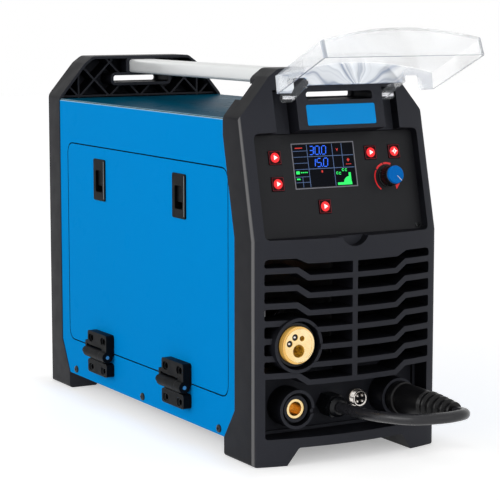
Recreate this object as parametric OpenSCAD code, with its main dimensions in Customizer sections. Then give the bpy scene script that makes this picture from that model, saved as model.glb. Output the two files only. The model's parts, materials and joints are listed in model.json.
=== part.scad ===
// Portable wire-feed welding machine: two moulded end bezels, a folded sheet case with a
// bottom-hinged side door, a wire feed compartment on the left and power parts on the right.
// +X is the operator's right facing the front, +Y runs to the rear, +Z is up.
// The origin is the centre of the footprint, on the floor.

/* [Case] */
// Width across both end bezels
body_w = 205; // [200:1:225]
// Length from the front corners to the rear face
body_l = 470; // [455:5:520]
// Height to the top of the bezels
bezel_h = 370.5; // [368:0.5:376]
// Height of the leaning upper front, from its crease to the top
face_rise = 157.1; // [155.5:0.1:158.5]
// Lean of the upper front face, in degrees
lean = 13.2; // [12:0.1:14]
// How far the middle of the front bulges forward of its corners
crown = 15.3; // [14:0.1:16]
// Wall of the moulded bezels
bezel_wall = 3; // [2.5:0.1:3.4]
// How far the sheet case's top lies under the top of the bezels
sheet_drop = 46.2; // [44.5:0.1:48.5]
// Height of the underside of the sheet case
sheet_low_z = 18.3; // [18:0.1:20]
// Thickness of the sheet steel
sheet_t = 1.2; // [1:0.1:1.5]
// Step from the bezel's outer face in to the sheet
sheet_inset = 1; // [0.8:0.1:1.4]
// Gap where sheet meets bezel
seam = 0.3; // [0.2:0.05:0.5]

/* [Bezel edges] */
// Depth of the front bezel's side flange between feet and crease
flange_y = 35; // [34:0.5:37]
// Depth of the front bezel's flange near its top
flange_top_y = 57.3; // [56:0.1:60]
// Depth of a front foot
foot_y = 55.9; // [54:0.1:58]
// Depth of the rear bezel's side flange
rear_flange = 33.5; // [32:0.5:36]
// Depth of a rear foot
rear_foot = 53; // [51:0.5:55]
// Width of a foot at the floor
foot_w = 32; // [28.5:0.5:34.5]
// Height of the arch between the feet
arch_z = 16.5; // [15:0.5:17]

/* [Front grille] */
// Plain side wall beside the grille
grille_margin = 10.5; // [9.5:0.5:12.5]
// Height of the lowest slat's underside at the sides
grille_low_z = 83.6; // [83:0.1:85]
// Step from slat to slat
slat_pitch = 16.5; // [16.3:0.1:16.6]
// Height of one slat
slat_h = 5.5; // [5:0.1:6]
// Plain face between the grille and the crease
grille_top_gap = 17; // [15:0.5:17]
// How much lower a slat runs in the middle than at the sides
slat_drop = 8; // [7:0.1:8.5]
// Half width of the centre bar
centre_bar = 2.8; // [2.5:0.1:3.5]
// Depth of the grille behind the corner plane
grille_depth = 20; // [18:0.5:24]

/* [Control panel] */
// Plain frame beside the control recess
recess_margin = 11.5; // [10.5:0.5:13.5]
// Height of the control recess, measured up the leaning face
recess_top = 99.3; // [98.5:0.1:100]
// Depth of the key panel below the leaning corner plane
panel_depth = 5.8; // [5:0.1:6.5]
// Width of a push button
button_w = 13; // [12:0.5:13.5]
// Travel of a push button
button_travel = 0.8; // [0.5:0.1:1]
// Width of the display window
display_w = 69.5; // [66:0.5:71]
// Height of the display window
display_h = 43.6; // [42:0.2:45]
// Diameter of the dial's body
dial_d = 20; // [18:0.5:22]
// Diameter of the dial's cap
dial_cap_d = 17.5; // [15:0.5:17.8]
// Height of the dial over the key panel
dial_h = 16.5; // [15:0.5:19]

/* [Clear cover] */
// Gap between the clear cover's sides and those of the recess
cover_margin = 4.6; // [4:0.1:6]
// Wall of the clear cover
cover_t = 2; // [1.6:0.1:2.4]
// Height of the cover's hinge pins up the leaning face
cover_hinge_v = 130.8; // [130:0.1:132]
// Height of the cover's hinge pins over the leaning corner plane
cover_hinge_n = 12.1; // [11.5:0.1:12.6]
// Angle through which the cover stands open
cover_open = 104.7; // [100:0.1:106]
// Diameter of a cover hinge pin
cover_pin_d = 4; // [3:0.5:4.5]

/* [Connectors] */
// Height of the lower row of connectors
connector_z = 52; // [51:0.5:53]
// Distance of a power socket from the centre
socket_x = 57; // [56:0.5:58]
// Diameter of a power socket's shell
socket_d = 37.5; // [36:0.5:38]
// How far a power socket's shell stands out of its plate
socket_proud = 22; // [20:0.5:23]
// Bore of a power socket
socket_bore_d = 13; // [12.5:0.1:13.5]
// Centre of the torch socket from the centre plane
torch_x = -59.5; // [-60.5:0.5:-59]
// Height of the torch socket
torch_z = 114.3; // [113:0.1:115]
// Diameter of the torch socket's collar
torch_collar_d = 52; // [51:0.5:54]
// Diameter of the torch socket's brass body
torch_body_d = 36; // [35:0.5:38]
// Diameter of the lead
lead_d = 10.4; // [9:0.2:11]
// Diameter of the signal socket
signal_d = 16; // [15:0.5:16.5]

/* [Side door] */
// Front edge of the door
door_y0 = 48.5; // [48:0.5:52]
// Plain sheet and bezel behind the door
door_rear_margin = 53; // [50:0.5:56]
// Lower edge of the door
door_z0 = 57; // [56.5:0.5:58]
// Plain sheet over the door
door_top_margin = 46.5; // [42:0.1:50]
// Gap round the door
door_gap = 1.2; // [1:0.1:1.8]
// Distance of the hinge axis out of the case
hinge_out = 8; // [7.5:0.1:8.5]
// Height of the hinge axis
hinge_z = 54.5; // [54:0.1:55]
// Outer diameter of the hinge knuckles
knuckle_d = 12; // [11:0.2:14.4]
// Diameter of the hinge pins
hinge_pin_d = 4; // [3:0.5:5]
// Width of a hinge
hinge_w = 47; // [44:1:50]
// Width of a latch
latch_w = 28; // [26:0.5:30]
// Height of a latch
latch_h = 44.5; // [42:0.5:46]
// Travel of a latch slide
latch_travel = 6; // [4:0.5:7]

/* [Handle] */
// Width of the carrying bar
bar_w = 30; // [26:1:32]
// Height of the carrying bar
bar_h = 15; // [13:1:16]
// How far the carrying bar's centre lies under the top of the bezels
bar_drop = 11.5; // [10.5:0.5:13.5]

/* [Wire feed] */
// Diameter of the wire spool
spool_d = 200; // [180:5:205]
// Width of the wire spool
spool_w = 55; // [50:1:56]
// Diameter of the feed rolls
roll_d = 30; // [28:1:32]
// Diameter of the welding wire
wire_d = 0.8; // [0.6:0.2:1.2]
// Diameter of the feed motor
motor_d = 52; // [46:1:54]

/* [Rear] */
// Diameter of the fan's blades
fan_d = 104; // [98:1:110]
// Square size of the fan's frame
fan_size = 120; // [118:1:122]
// Number of fan blades
blade_count = 7; // [5:1:9]

/* [Hidden] */

round_fn = 48;
fine_fn = 96;
big = 400;
w2 = body_w / 2;
crease_z = bezel_h - face_rise;
crown_r = (w2 * w2 + crown * crown) / (2 * crown);
corner_r = 6;
foot_r = 4;
rear_corner_r = 6;
arc_steps = 20;
touch = 0.01;
shaft_gap = 0.05;
run_gap = 0.3;

// Bezel outline
shoulder_w = 32;
shoulder_x = w2 - shoulder_w;
shoulder_z = bezel_h - 7.5;
side_top_z = bezel_h - 45.5;
crest_x = shoulder_x - 10.5;
foot_gap = w2 - foot_w;
foot_slope_x = foot_gap - 12.5;
slot_z = bezel_h - 22;
slot_half = 36.7;
slot_l = 8;
sleeve_t = 2.2;
rear_sleeve = 33;
rear_slot_half = 34.8;
rear_lip = 3.1;

// Case sheet
sheet_x = w2 - sheet_inset;
cavity_x = w2 - bezel_wall;
sheet_top_z = bezel_h - sheet_drop;
flange_bend_z = sheet_top_z - 15.8;
sheet_low_bend_z = 48.1;
rear_bend_z = 54;

// Grille: the top slot is lower than the others
grille_half = w2 - grille_margin;
top_slot_h = 8.2;
first_slot_z = grille_low_z + slat_h;
slot_count = 1 + floor((crease_z - grille_top_gap - top_slot_h - first_slot_z) / slat_pitch);

// Lower recess
recess_half = w2 - recess_margin;
low_recess_half = recess_half;
low_recess_z = 26;
plate_y = 17;
plate_t = 3;

// Channels and centre block over the control recess; its sill lies just over the crease
sill_rise = 0.4;
cover_half = recess_half - cover_margin;
cover_far_v = 8.3;
cover_far_n = 10.5;
cover_tilt = 4.5;
cover_drop = 16;
cover_sag = 11;
cover_near_slope = 0.25;
cover_l = recess_top - 0.8 - cover_far_v - cover_near_slope * cover_drop - 1.2;
hood_h = 9.2;
block_half = 48;
block_n = crown - 0.1;
channel_half = 68.5;
channel_n = -3;
channel_top = 139;
cover_pin_seat = 6;
arm_gap = 3;
arm_w = channel_half - block_half - arm_gap - 7.5;
arm_t = 2.5;
arm_pts = let (
    wall_v = cover_far_v + (cover_l - 1.4) * cos(cover_tilt),
    wall_n = cover_far_n + cover_l * sin(cover_tilt)
) [[wall_v, wall_n - 1], [wall_v + 2, wall_n - hood_h + 0.5], [cover_hinge_v - 2, cover_hinge_n - 3.9],
    [cover_hinge_v, cover_hinge_n + 4.2]];
panel_wall = 4;
panel_t = 1.6;

// Controls: [x, height up the face]; the outer ones keep their distance to the recess's sides
button_spots = [[24.9 - recess_half, 77.5], [25.1 - recess_half, 52.5], [-17.3, 28.9],
    [recess_half - 50.5, 78.2], [recess_half - 23.5, 78.3]];
dial_spot = [recess_half - 34.4, 53.8];
panel_screw_spot = [recess_half - 6, 5.8];
display_mid = [-12.2, 68.3];
button_rim = 1;

// Connectors
lead_gland_x = -10;
lead_gland_z = connector_z - 3;
lead_gland_d = 20;
lead_nut_d = 23.5;
lead_y0 = -6;
signal_x = 21.5;
signal_z = connector_z;
brass_d = socket_d - 18;
socket_front_y = plate_y - socket_proud;
torch_front_y = -10;
contact_offsets = [[-9, 2.1], [-3.2, 7.8]];
wire_x = torch_x + 0.7;
wire_z = torch_z - 5.5;
gas_offset = [4.4, 6.2];

// Door hardware
hinge_x = -(sheet_x + hinge_out);
door_y1 = body_l - door_rear_margin;
door_z1 = sheet_top_z - door_top_margin;
hinge_mids = [door_y0 + 99, door_y1 - 92];
leaf_t = 9.5;
latch_mids = [door_y0 + 99, door_y1 - 84.5];
latch_z = door_z1 - 35.5;
latch_proud = 1.6;
door_r = 12;
door_flange = 8;
screw_spots = [67, body_l / 2 - 2, body_l - 71];
screw_z = 24.5;
screw_d = 4;

// Handle
socket_wall = 4;
bar_z = bezel_h - bar_drop;
bar_y0 = 42;
bar_y1 = body_l - 20;

// Wire feed: the feed unit and the spool share out the free run between torch and gas valve
partition_x = 8;
torch_back_y = 48;
feed_front = 44;
feed_back = 52;
valve_reach = 60;
free_run = body_l - valve_reach - torch_back_y - feed_front - feed_back - spool_d;
feed_y = torch_back_y + free_run * 20 / 33 + feed_front;
spool_x = -52;
spool_y = feed_y + feed_back + free_run * 8 / 33 + spool_d / 2;
spool_z = 165;
hub_d = 50;
axle_d = 16;
frame_x = -38;
frame_t = 6;
roll_gap = wire_d;
drive_z = wire_z - (roll_d + roll_gap) / 2;
press_z = wire_z + (roll_d + roll_gap) / 2;
roll_w = 14;
roll_shaft_d = 8;
frame_low_z = drive_z - motor_d / 2 - 7;
arm_pivot_y = feed_y + 34;
arm_pivot_z = wire_z + 12;
motor_l = 78;

// Rear
rear_y = body_l;
rear_wall_y = rear_y - bezel_wall;
fan_x = cavity_x - fan_size / 2 - 1.5;
fan_z = 120;
fan_depth = 25;
fan_y = rear_wall_y - fan_depth - 1;
fan_hub_d = 40;
left_service_x = 37.5 - cavity_x;
switch_z = bezel_h - 108.5;
switch_w = 21.6;
switch_h = 29.2;
rocker_w = 15;
rocker_r = 11.5;
rocker_y = body_l - 5;
rocker_tilt = 10;
mains_z = 70;
gas_z = 120;

// Power parts on the right of the partition
bay_gap = 12;
board_w = sheet_x - sheet_t - 0.3 - partition_x - bay_gap;
board_y = 110;
board_l = 250;
board_z = 205;
board_t = 1.8;
sink_w = board_w - 4;
sink_y = board_y + 20;
sink_l = board_l - 50;
sink_base_t = 9;
sink_h = 39;
fin_t = 3;
fin_pitch = 8;
coil_w = sink_w;
coil_l = 54;
coil_h = 40;
core_w = coil_w - 16;
core_l = coil_l + 20;
core_h = coil_h + 16;
core_y = 240;
choke_d = board_w + 4;
choke_bore_d = 34;
choke_h = 44;
choke_y = 170;

// Lead route: gland, loop and back into the plug's boot
lead_route = [[-10, lead_y0, 49], [-10, -16, 49.4], [-10.3, -29, 50.1], [-11, -43, 51], [-11, -57, 52.2],
    [-9.5, -71, 53.2], [-6, -85, 54.3], [0, -98, 54.9], [9, -109, 55.7], [21, -117, 56.7],
    [34.5, -120.5, 57.2], [48, -119, 57.4], [58, -112, 56.2], [63, -101, 54.6], [64, -89, 53]];
lead_sides = 10;
lead_steps = 4;
plug_axis_end = [64, -89, 53];
boot_ribs = 5;
plug_collar_d = 22;
plug_collar_l = 14;

// Points of an arc about c, from angle a0 to a1 in degrees
function arc(c, r, a0, a1, n) =
    [for (i = [0:n]) let (a = a0 + (a1 - a0) * i / n) [c[0] + r * cos(a), c[1] + r * sin(a)]];

function unit(v) = v / norm(v);

// One corner of a polygon, rounded with radius r between neighbours p and q
function corner(p, c, q, r, n) = let (
    a = unit(p - c),
    b = unit(q - c),
    half = acos(max(-1, min(1, a * b))) / 2,
    d = r / tan(half),
    m = c + unit(a + b) * r / sin(half),
    s = c + a * d - m,
    e = c + b * d - m,
    turn = atan2(s[0] * e[1] - s[1] * e[0], s * e)
) [for (i = [0:n]) let (t = turn * i / n)
    m + [s[0] * cos(t) - s[1] * sin(t), s[0] * sin(t) + s[1] * cos(t)]];

// A polygon whose corner i is rounded with radius r[i]; zero keeps it sharp
function rounded(pts, r, n = 5) = let (k = len(pts)) [for (i = [0:k - 1])
    each (r[i] == 0 ? [pts[i]] : corner(pts[(i + k - 1) % k], pts[i], pts[(i + 1) % k], r[i], n))];

function box_pts(x0, z0, x1, z1) = [[x0, z0], [x1, z0], [x1, z1], [x0, z1]];
function round_box(x0, z0, x1, z1, r, n = 4) = rounded(box_pts(x0, z0, x1, z1), [r, r, r, r], n);
function flipped(pts) = [for (i = [len(pts) - 1:-1:0]) [-pts[i][0], pts[i][1]]];
function crown_y(x) = -crown * (1 - (x / w2) * (x / w2));

// Moves the front-referenced model so the footprint is centred on the origin
module machine() translate([0, -body_l / 2, 0]) children();
// Extrudes a front view (x, z) between two depths
module along_y(y0, y1) translate([0, y1, 0]) rotate([90, 0, 0]) linear_extrude(y1 - y0) children();
// Extrudes a side view (y, z) between two x values
module along_x(x0, x1) translate([x0, 0, 0]) rotate([90, 0, 90]) linear_extrude(x1 - x0) children();
// Leaning face: x across, y up the face from the crease, z out of the corner plane
module face() translate([0, 0, crease_z]) rotate([90 - lean, 0, 0]) children();
module mirrored() { children(); mirror([1, 0, 0]) children(); }
module rod_x(x0, x1, y, z, d) translate([x0, y, z]) rotate([0, 90, 0])
    cylinder(h = x1 - x0, d = d, $fn = round_fn);
module rod_y(y0, y1, x, z, d) translate([x, y0, z]) rotate([-90, 0, 0])
    cylinder(h = y1 - y0, d = d, $fn = round_fn);

// Front view of both bezels, inset by t
module bezel_outline(t) {
    polygon(rounded([[-w2 + t, t > 0 ? -1 : 0], [-w2 + t, side_top_z - t * 0.4],
        [-shoulder_x + t * 0.6, shoulder_z - t * 0.8], [-crest_x, bezel_h - t],
        [crest_x, bezel_h - t], [shoulder_x - t * 0.6, shoulder_z - t * 0.8],
        [w2 - t, side_top_z - t * 0.4], [w2 - t, t > 0 ? -1 : 0]],
        [t > 0 ? 0 : foot_r, 10, 9, 9, 9, 9, 10, t > 0 ? 0 : foot_r]));
}

// Section of a hand slot of the given half width, grown by t
module slot_section(half, t = 0) {
    polygon(round_box(-half - t, slot_z - slot_l - t, half + t, slot_z + t, 2.5 + t));
}

// Front view of everything over the control recess's sill, with rounded lower corners
module over_sill(half, r) {
    polygon(round_box(-half, crease_z + sill_rise, half, bezel_h + 60, r));
}

module foot_arch() {
    polygon(rounded([[-foot_gap, -1], [foot_gap, -1], [foot_slope_x, arch_z], [-foot_slope_x, arch_z]],
        [0, 0, 4, 4]));
}

// Plan of the crowned front, with rounded vertical corners, back to y_back
function crown_plan(grow, y_back, squash = 1) = let (
    front = [for (i = [0:arc_steps]) let (x = w2 * (2 * i / arc_steps - 1))
        [x, crown_y(x) * squash - grow]],
    outline = concat([[-w2, y_back]], front, [[w2, y_back]]),
    n = len(outline)
) rounded(outline, [for (i = [0:n - 1]) (i == 1 || i == n - 2) ? corner_r : 0]);

// Everything behind the crowned front face, grown outwards by grow
module front_mass(grow = 0) {
    linear_extrude(crease_z) polygon(crown_plan(grow, 80));
    intersection() {
        face() translate([0, 200, 0]) rotate([90, 0, 0])
            linear_extrude(240) polygon([for (p = crown_plan(grow, 100, cos(lean))) [p[0], -p[1]]]);
        translate([-big, -big, crease_z]) cube([2 * big, 2 * big, big]);
    }
}

module front_side_profile() {
    polygon([[-60, -1], [foot_y, -1], [foot_y, sheet_low_z], [flange_y, sheet_low_bend_z],
        [flange_y, crease_z], [flange_top_y, flange_bend_z], [flange_top_y, bezel_h + 1],
        [-60, bezel_h + 1]]);
}

// Right half of one grille slot; top and bottom are heights at the outer end
function slot_pts(top, bottom, drop_top) = [[centre_bar, top - drop_top], [50, top - drop_top],
    [61.2, top], [grille_half, top], [grille_half, bottom], [59.7, bottom],
    [47.4, bottom - slat_drop], [centre_bar, bottom - slat_drop]];

module grille_slots() {
    for (i = [0:slot_count - 1]) {
        bottom = first_slot_z + i * slat_pitch;
        is_top = i == slot_count - 1;
        top = bottom + (is_top ? top_slot_h : slat_pitch - slat_h);
        pts = slot_pts(top, bottom, is_top ? 5.2 : slat_drop - 0.5);
        outline = rounded(pts, [0.8, 1.2, 1.2, is_top ? 4 : 1.8, 1.8, 1.2, 1.2, 0.8], 2);
        polygon(outline);
        polygon(flipped(outline));
    }
}

module low_recess() {
    top = grille_low_z;
    inner = top - slat_drop + 0.5;
    polygon(rounded([[low_recess_half, top], [61.2, top], [50, inner], [-50, inner], [-61.2, top],
        [-low_recess_half, top], [-low_recess_half, low_recess_z], [low_recess_half, low_recess_z]],
        [0, 0, 0, 0, 0, 0, 3, 3]));
}

// Side view of the hollow inside the front bezel
module front_cavity_profile() {
    lift = tan(lean);
    back = (panel_depth + panel_wall) / cos(lean);
    polygon([[grille_depth, arch_z + 4], [grille_depth, crease_z + 1],
        [back + 9 * lift, crease_z + 9], [back + (bezel_h - crease_z) * lift, bezel_h],
        [90, bezel_h], [90, arch_z + 4]]);
}

// Diagonal stiffening ribs (x, z) over the sheet, inside a bezel
module rib_lattice(pitch, z0, z1) {
    rib = 2;
    for (i = [-4:4], s = [-1, 1])
        polygon([[i * pitch, z0], [i * pitch + s * (z1 - z0), z1],
            [i * pitch + s * (z1 - z0) + rib * 1.4, z1], [i * pitch + rib * 1.4, z0]]);
}

module bar_section(grow = 0) {
    polygon(round_box(-bar_w / 2 - grow, bar_z - bar_h / 2 - grow, bar_w / 2 + grow,
        bar_z + bar_h / 2 + grow, 3 + grow));
}

module front_bezel() color([0.13, 0.13, 0.14]) machine() {
    difference() {
        union() {
            difference() {
                intersection() {
                    front_mass();
                    along_y(-60, 80) difference() {
                        bezel_outline(0);
                        foot_arch();
                    }
                    along_x(-w2 - 1, w2 + 1) front_side_profile();
                }
                // Hollow behind the face
                intersection() {
                    along_x(-cavity_x, cavity_x) front_cavity_profile();
                    along_y(0, 90) bezel_outline(bezel_wall);
                }
                // Grille and connector recess
                along_y(-60, 60) grille_slots();
                along_y(-60, plate_y) low_recess();
                along_y(plate_y - touch, 60) translate([-low_recess_half + 3, low_recess_z + 3])
                    square([2 * low_recess_half - 6, 50]);
                // Control recess with a level sill
                intersection() {
                    face() translate([0, 0, -panel_depth - panel_t]) linear_extrude(60)
                        polygon(round_box(-recess_half, -30, recess_half, recess_top, 5));
                    along_y(-60, 80) over_sill(recess_half, 5);
                }
                // Thumb notch under the recess
                rod_y(-40, -5.5, 0, crease_z + 6.9, 31.4);
            }
            // Collar of the torch socket
            rod_y(-11.5, grille_depth, torch_x, torch_z, torch_collar_d);
            // Flat centre block over the panel
            intersection() {
                face() translate([-block_half, recess_top + 0.2, -panel_depth])
                    cube([2 * block_half, 100, panel_depth + block_n]);
                along_y(-60, 80) bezel_outline(0);
            }
            // Sleeve of the hand slot
            along_y(25, flange_top_y - 2) slot_section(slot_half, sleeve_t);
            // Stiffening ribs behind the top
            intersection() {
                along_y(30, flange_top_y - 3) rib_lattice(38, sheet_top_z + 2, bezel_h - 1);
                along_y(0, 90) bezel_outline(1);
            }
            // Socket for the carrying bar
            along_y(40, flange_top_y) bar_section(socket_wall);
        }
        // Channels for the cover's hinge arms
        mirrored() face() translate([block_half, recess_top - 1, channel_n])
            cube([channel_half - block_half, channel_top - recess_top + 1, 60]);
        // Hand slot and name plate pocket
        along_y(-60, flange_top_y - 8) slot_section(slot_half);
        along_y(-60, 80) polygon(round_box(-slot_half + 2, slot_z - slot_l + 1.3,
            slot_half - 2, slot_z, 1.5));
        face() translate([0, 0, block_n - 1.2]) linear_extrude(10)
            polygon(round_box(-38.2, 103.1, 38.2, 123.2, 1.7));
        // Notches in the rear edge of the shoulders
        mirrored() translate([shoulder_x + 2.5, 47.5, bezel_h - 35.5]) cube([16, 20, 40]);
        along_y(bar_y0, 90) bar_section();
        // Torch socket recess
        rod_y(-20, 8, torch_x, torch_z, torch_collar_d - 6);
        rod_y(0, 40, torch_x, torch_z, torch_body_d + 6);
        // Openings behind the buttons and the dial
        face() {
            for (p = button_spots) translate([p[0], p[1], -30])
                linear_extrude(40) square(button_w + 2 * run_gap, center = true);
            translate([dial_spot[0], dial_spot[1], -30]) cylinder(h = 40, d = 8, $fn = round_fn);
            translate([display_mid[0], display_mid[1], -30])
                linear_extrude(40) square([display_w, display_h], center = true);
        }
        // Holes for the cover's pins
        face() mirrored() translate([block_half - cover_pin_seat, cover_hinge_v, cover_hinge_n])
            rotate([0, 90, 0]) cylinder(h = cover_pin_seat + 1, d = cover_pin_d, $fn = 32);
    }
}

module rear_side_profile() {
    y0 = rear_y - rear_flange;
    polygon([[rear_y - rear_foot, -1], [rear_y + 1, -1], [rear_y + 1, bezel_h + 1],
        [y0, bezel_h + 1], [y0, rear_bend_z], [rear_y - rear_foot, sheet_low_z]]);
}

module rear_bezel() color([0.13, 0.13, 0.14]) machine() {
    intersection() {
        difference() {
            union() {
                difference() {
                    along_y(rear_y - 60, rear_y) difference() {
                        bezel_outline(0);
                        foot_arch();
                    }
                    intersection() {
                        along_y(rear_y - 80, rear_wall_y) bezel_outline(bezel_wall);
                        translate([-big, 0, arch_z + 4]) cube([2 * big, 600, 400]);
                    }
                }
                // Rib lattice and ledge over the sheet
                intersection() {
                    union() {
                        along_y(rear_y - 26, rear_wall_y + 1)
                            rib_lattice(38, sheet_top_z + 0.7, bezel_h - 1);
                        mirrored() translate([shoulder_x + 3.5, rear_y - 26, sheet_top_z - 2.3])
                            cube([2, 25, 45]);
                        translate([-w2, rear_y - 26, sheet_top_z + 0.7]) cube([body_w, 25, 2]);
                    }
                    along_y(rear_y - 80, rear_y) bezel_outline(1);
                }
                along_y(rear_y - rear_flange, rear_y - 14) bar_section(socket_wall);
                // Sleeve of the hand slot with a raised rim
                along_y(rear_y - rear_sleeve, rear_wall_y + 1)
                    slot_section(rear_slot_half, sleeve_t);
                along_y(rear_y - rear_sleeve, rear_y - rear_sleeve + 4)
                    slot_section(rear_slot_half, sleeve_t + 1);
                // Bosses for the fan's screws
                for (sx = [-1, 1], sz = [-1, 1])
                    rod_y(fan_y + fan_depth, rear_wall_y + 1, fan_x + sx * 52.5, fan_z + sz * 52.5, 9);
            }
            along_y(bar_y0, bar_y1) bar_section();
            along_y(rear_y - 80, rear_wall_y) slot_section(rear_slot_half);
            along_y(rear_y - 80, rear_y + 5) polygon(round_box(-rear_slot_half + rear_lip,
                slot_z - slot_l + 0.8, rear_slot_half - rear_lip, slot_z - 1.1, 2.5));
            // Fan opening, switch, mains gland and gas inlet
            rod_y(rear_y - 30, rear_y + 5, fan_x, fan_z, fan_d + 6);
            along_y(rear_y - 30, rear_y + 5) polygon(round_box(left_service_x - switch_w / 2 - 0.2,
                switch_z - switch_h / 2 - 0.2, left_service_x + switch_w / 2 + 0.2,
                switch_z + switch_h / 2 + 0.2, 0.6));
            rod_y(rear_y - 30, rear_y + 5, left_service_x, mains_z, 20);
            rod_y(rear_y - 30, rear_y + 5, left_service_x, gas_z, 10);
        }
        along_x(-w2 - 1, w2 + 1) rear_side_profile();
        // Rounded vertical rear corners
        linear_extrude(400) polygon(rounded([[-w2, 300], [w2, 300], [w2, rear_y], [-w2, rear_y]],
            [0, 0, rear_corner_r, rear_corner_r]));
    }
}

module door_outline(gap) {
    polygon(round_box(door_y0 + gap, door_z0 + gap, door_y1 - gap, door_z1 - gap, door_r - gap));
}

module sheet_profile() {
    front_y = flange_y + seam;
    rear_edge = rear_y - rear_flange - seam;
    polygon([[foot_y + seam, sheet_low_z], [rear_y - rear_foot - seam, sheet_low_z],
        [rear_edge, rear_bend_z], [rear_edge, bezel_h], [flange_top_y + seam, bezel_h],
        [flange_top_y + seam, flange_bend_z], [front_y, crease_z], [front_y, sheet_low_bend_z]]);
}

module case_sheet() color([0.0, 0.46, 0.78]) machine() difference() {
    intersection() {
        along_y(0, 500) difference() {
            polygon(rounded([[-sheet_x, 0], [sheet_x, 0], [sheet_x, sheet_top_z], [-sheet_x, sheet_top_z]],
                [0, 0, 3, 3]));
            polygon(rounded([[-sheet_x + sheet_t, -1], [sheet_x - sheet_t, -1],
                [sheet_x - sheet_t, sheet_top_z - sheet_t], [-sheet_x + sheet_t, sheet_top_z - sheet_t]],
                [0, 0, 1.8, 1.8]));
        }
        along_x(-w2, w2) sheet_profile();
    }
    along_x(-w2, 0) door_outline(0);
    for (y = screw_spots) rod_x(-w2 - 5, w2 + 5, y, screw_z, screw_d + 2 * touch);
    // Cooling louvres on the right side
    for (i = [0:8], k = [0:1]) along_x(0, w2)
        polygon(round_box(100 + k * 190, 90 + i * 16, 180 + k * 190, 94 + i * 16, 1.9));
}

module base_pan() color([0.55, 0.57, 0.6]) machine() {
    x = sheet_x - sheet_t;
    y1 = rear_y - rear_foot - seam;
    difference() {
        union() {
            translate([-x, foot_y + seam, sheet_low_z]) cube([2 * x, y1 - foot_y - seam, sheet_t + 0.8]);
            for (s = [0, 1]) mirror([s, 0, 0]) translate([x - 2, foot_y + seam, sheet_low_z])
                cube([2, y1 - foot_y - seam, 26]);
        }
        for (i = [0:7]) translate([20, 120 + i * 30, 0]) linear_extrude(40)
            polygon(round_box(0, 0, 60, 6, 2.9));
        for (y = screw_spots) rod_x(-w2 - 5, w2 + 5, y, screw_z, screw_d);
    }
}

module partition() color([0.6, 0.62, 0.64]) machine() difference() {
    along_x(partition_x, partition_x + sheet_t + 0.4)
        polygon([[66, sheet_low_z + 2], [rear_y - 62, sheet_low_z + 2], [rear_y - 40, 60],
            [rear_y - 40, sheet_top_z - 4], [62, sheet_top_z - 4], [42, crease_z], [42, 60]]);
    rod_x(0, 20, feed_y, drive_z, motor_d + 4);
    rod_x(0, 20, spool_y, spool_z, 6.4);
    for (s = [-1, 1]) rod_x(0, 20, spool_y + s * 22, spool_z, 4);
}

module handle_bar() color([0.85, 0.86, 0.87]) machine() along_y(bar_y0, bar_y1) difference() {
    bar_section();
    polygon(round_box(-bar_w / 2 + 2, bar_z - bar_h / 2 + 2, bar_w / 2 - 2, bar_z + bar_h / 2 - 2, 1.5));
}

module connector_plate() color([0.1, 0.1, 0.11]) machine() difference() {
    translate([-low_recess_half - 4, grille_depth, low_recess_z - 3])
        cube([2 * low_recess_half + 8, 2.5, 66]);
    for (s = [-1, 1]) rod_y(0, 60, s * socket_x, connector_z, brass_d + 4);
    rod_y(0, 60, lead_gland_x, lead_gland_z, lead_gland_d - 4);
    rod_y(0, 60, signal_x, signal_z, signal_d);
}

module key_panel() color([0.09, 0.09, 0.1]) machine() difference() {
    intersection() {
        face() translate([0, 0, -panel_depth - panel_t]) linear_extrude(panel_t)
            polygon(round_box(-recess_half + 0.2, -20, recess_half - 0.2, recess_top - 0.2, 4.8));
        along_y(-60, 80) over_sill(recess_half - 0.2, 4.8);
    }
    face() {
        for (p = button_spots) translate([p[0], p[1], -30]) linear_extrude(40)
            square(button_w + 2 * run_gap, center = true);
        translate([dial_spot[0], dial_spot[1], -30]) cylinder(h = 40, d = 8, $fn = round_fn);
        translate([display_mid[0], display_mid[1], -30])
            linear_extrude(40) square([display_w - 3, display_h - 3], center = true);
    }
}

module display() color([0.03, 0.04, 0.06]) machine() face() {
    translate([display_mid[0], display_mid[1], -panel_depth - 0.5]) linear_extrude(0.3)
        square([display_w - 3, display_h - 3], center = true);
    translate([display_mid[0], display_mid[1], -panel_depth - 8]) linear_extrude(7.6)
        square([display_w - 3.4, display_h - 3.4], center = true);
}

module control_board() color([0.05, 0.3, 0.15]) machine() face()
    translate([0, 0, -panel_depth - panel_wall - 8]) difference() {
        linear_extrude(1.6) polygon(round_box(9 - recess_half, 16, recess_half - 9, 94, 3));
        for (s = [-1, 1], v = [22, 88]) translate([s * (recess_half - 15), v, -1])
            cylinder(h = 4, d = 3.4, $fn = 24);
    }

module name_plate() color([0.0, 0.46, 0.78]) machine() face() translate([0, 0, block_n - 1.2])
    linear_extrude(1.5) polygon(round_box(-38, 103.3, 38, 123, 1.5));

module cover_pins() color([0.7, 0.7, 0.72]) machine() face() mirrored()
    translate([block_half - cover_pin_seat, cover_hinge_v, cover_hinge_n]) rotate([0, 90, 0])
        cylinder(h = cover_pin_seat + arm_gap + arm_w + 0.5, d = cover_pin_d, $fn = 32);

module torch_socket() color([0.85, 0.65, 0.25]) machine() difference() {
    union() {
        rod_y(torch_front_y, torch_back_y, torch_x, torch_z, torch_body_d);
        rod_y(grille_depth, grille_depth + 5, torch_x, torch_z, torch_body_d + 10);
    }
    rod_y(-30, 60, wire_x, wire_z, 12);
    rod_y(-30, 20, torch_x + gas_offset[0], torch_z + gas_offset[1], 4.8);
    for (p = contact_offsets) rod_y(-30, 12, torch_x + p[0], torch_z + p[1], 6);
}

module torch_collar() color([0.08, 0.08, 0.09]) machine() difference() {
    rod_y(-6, grille_depth - touch, torch_x, torch_z, torch_body_d + 6);
    rod_y(-20, 60, torch_x, torch_z, torch_body_d);
}

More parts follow.
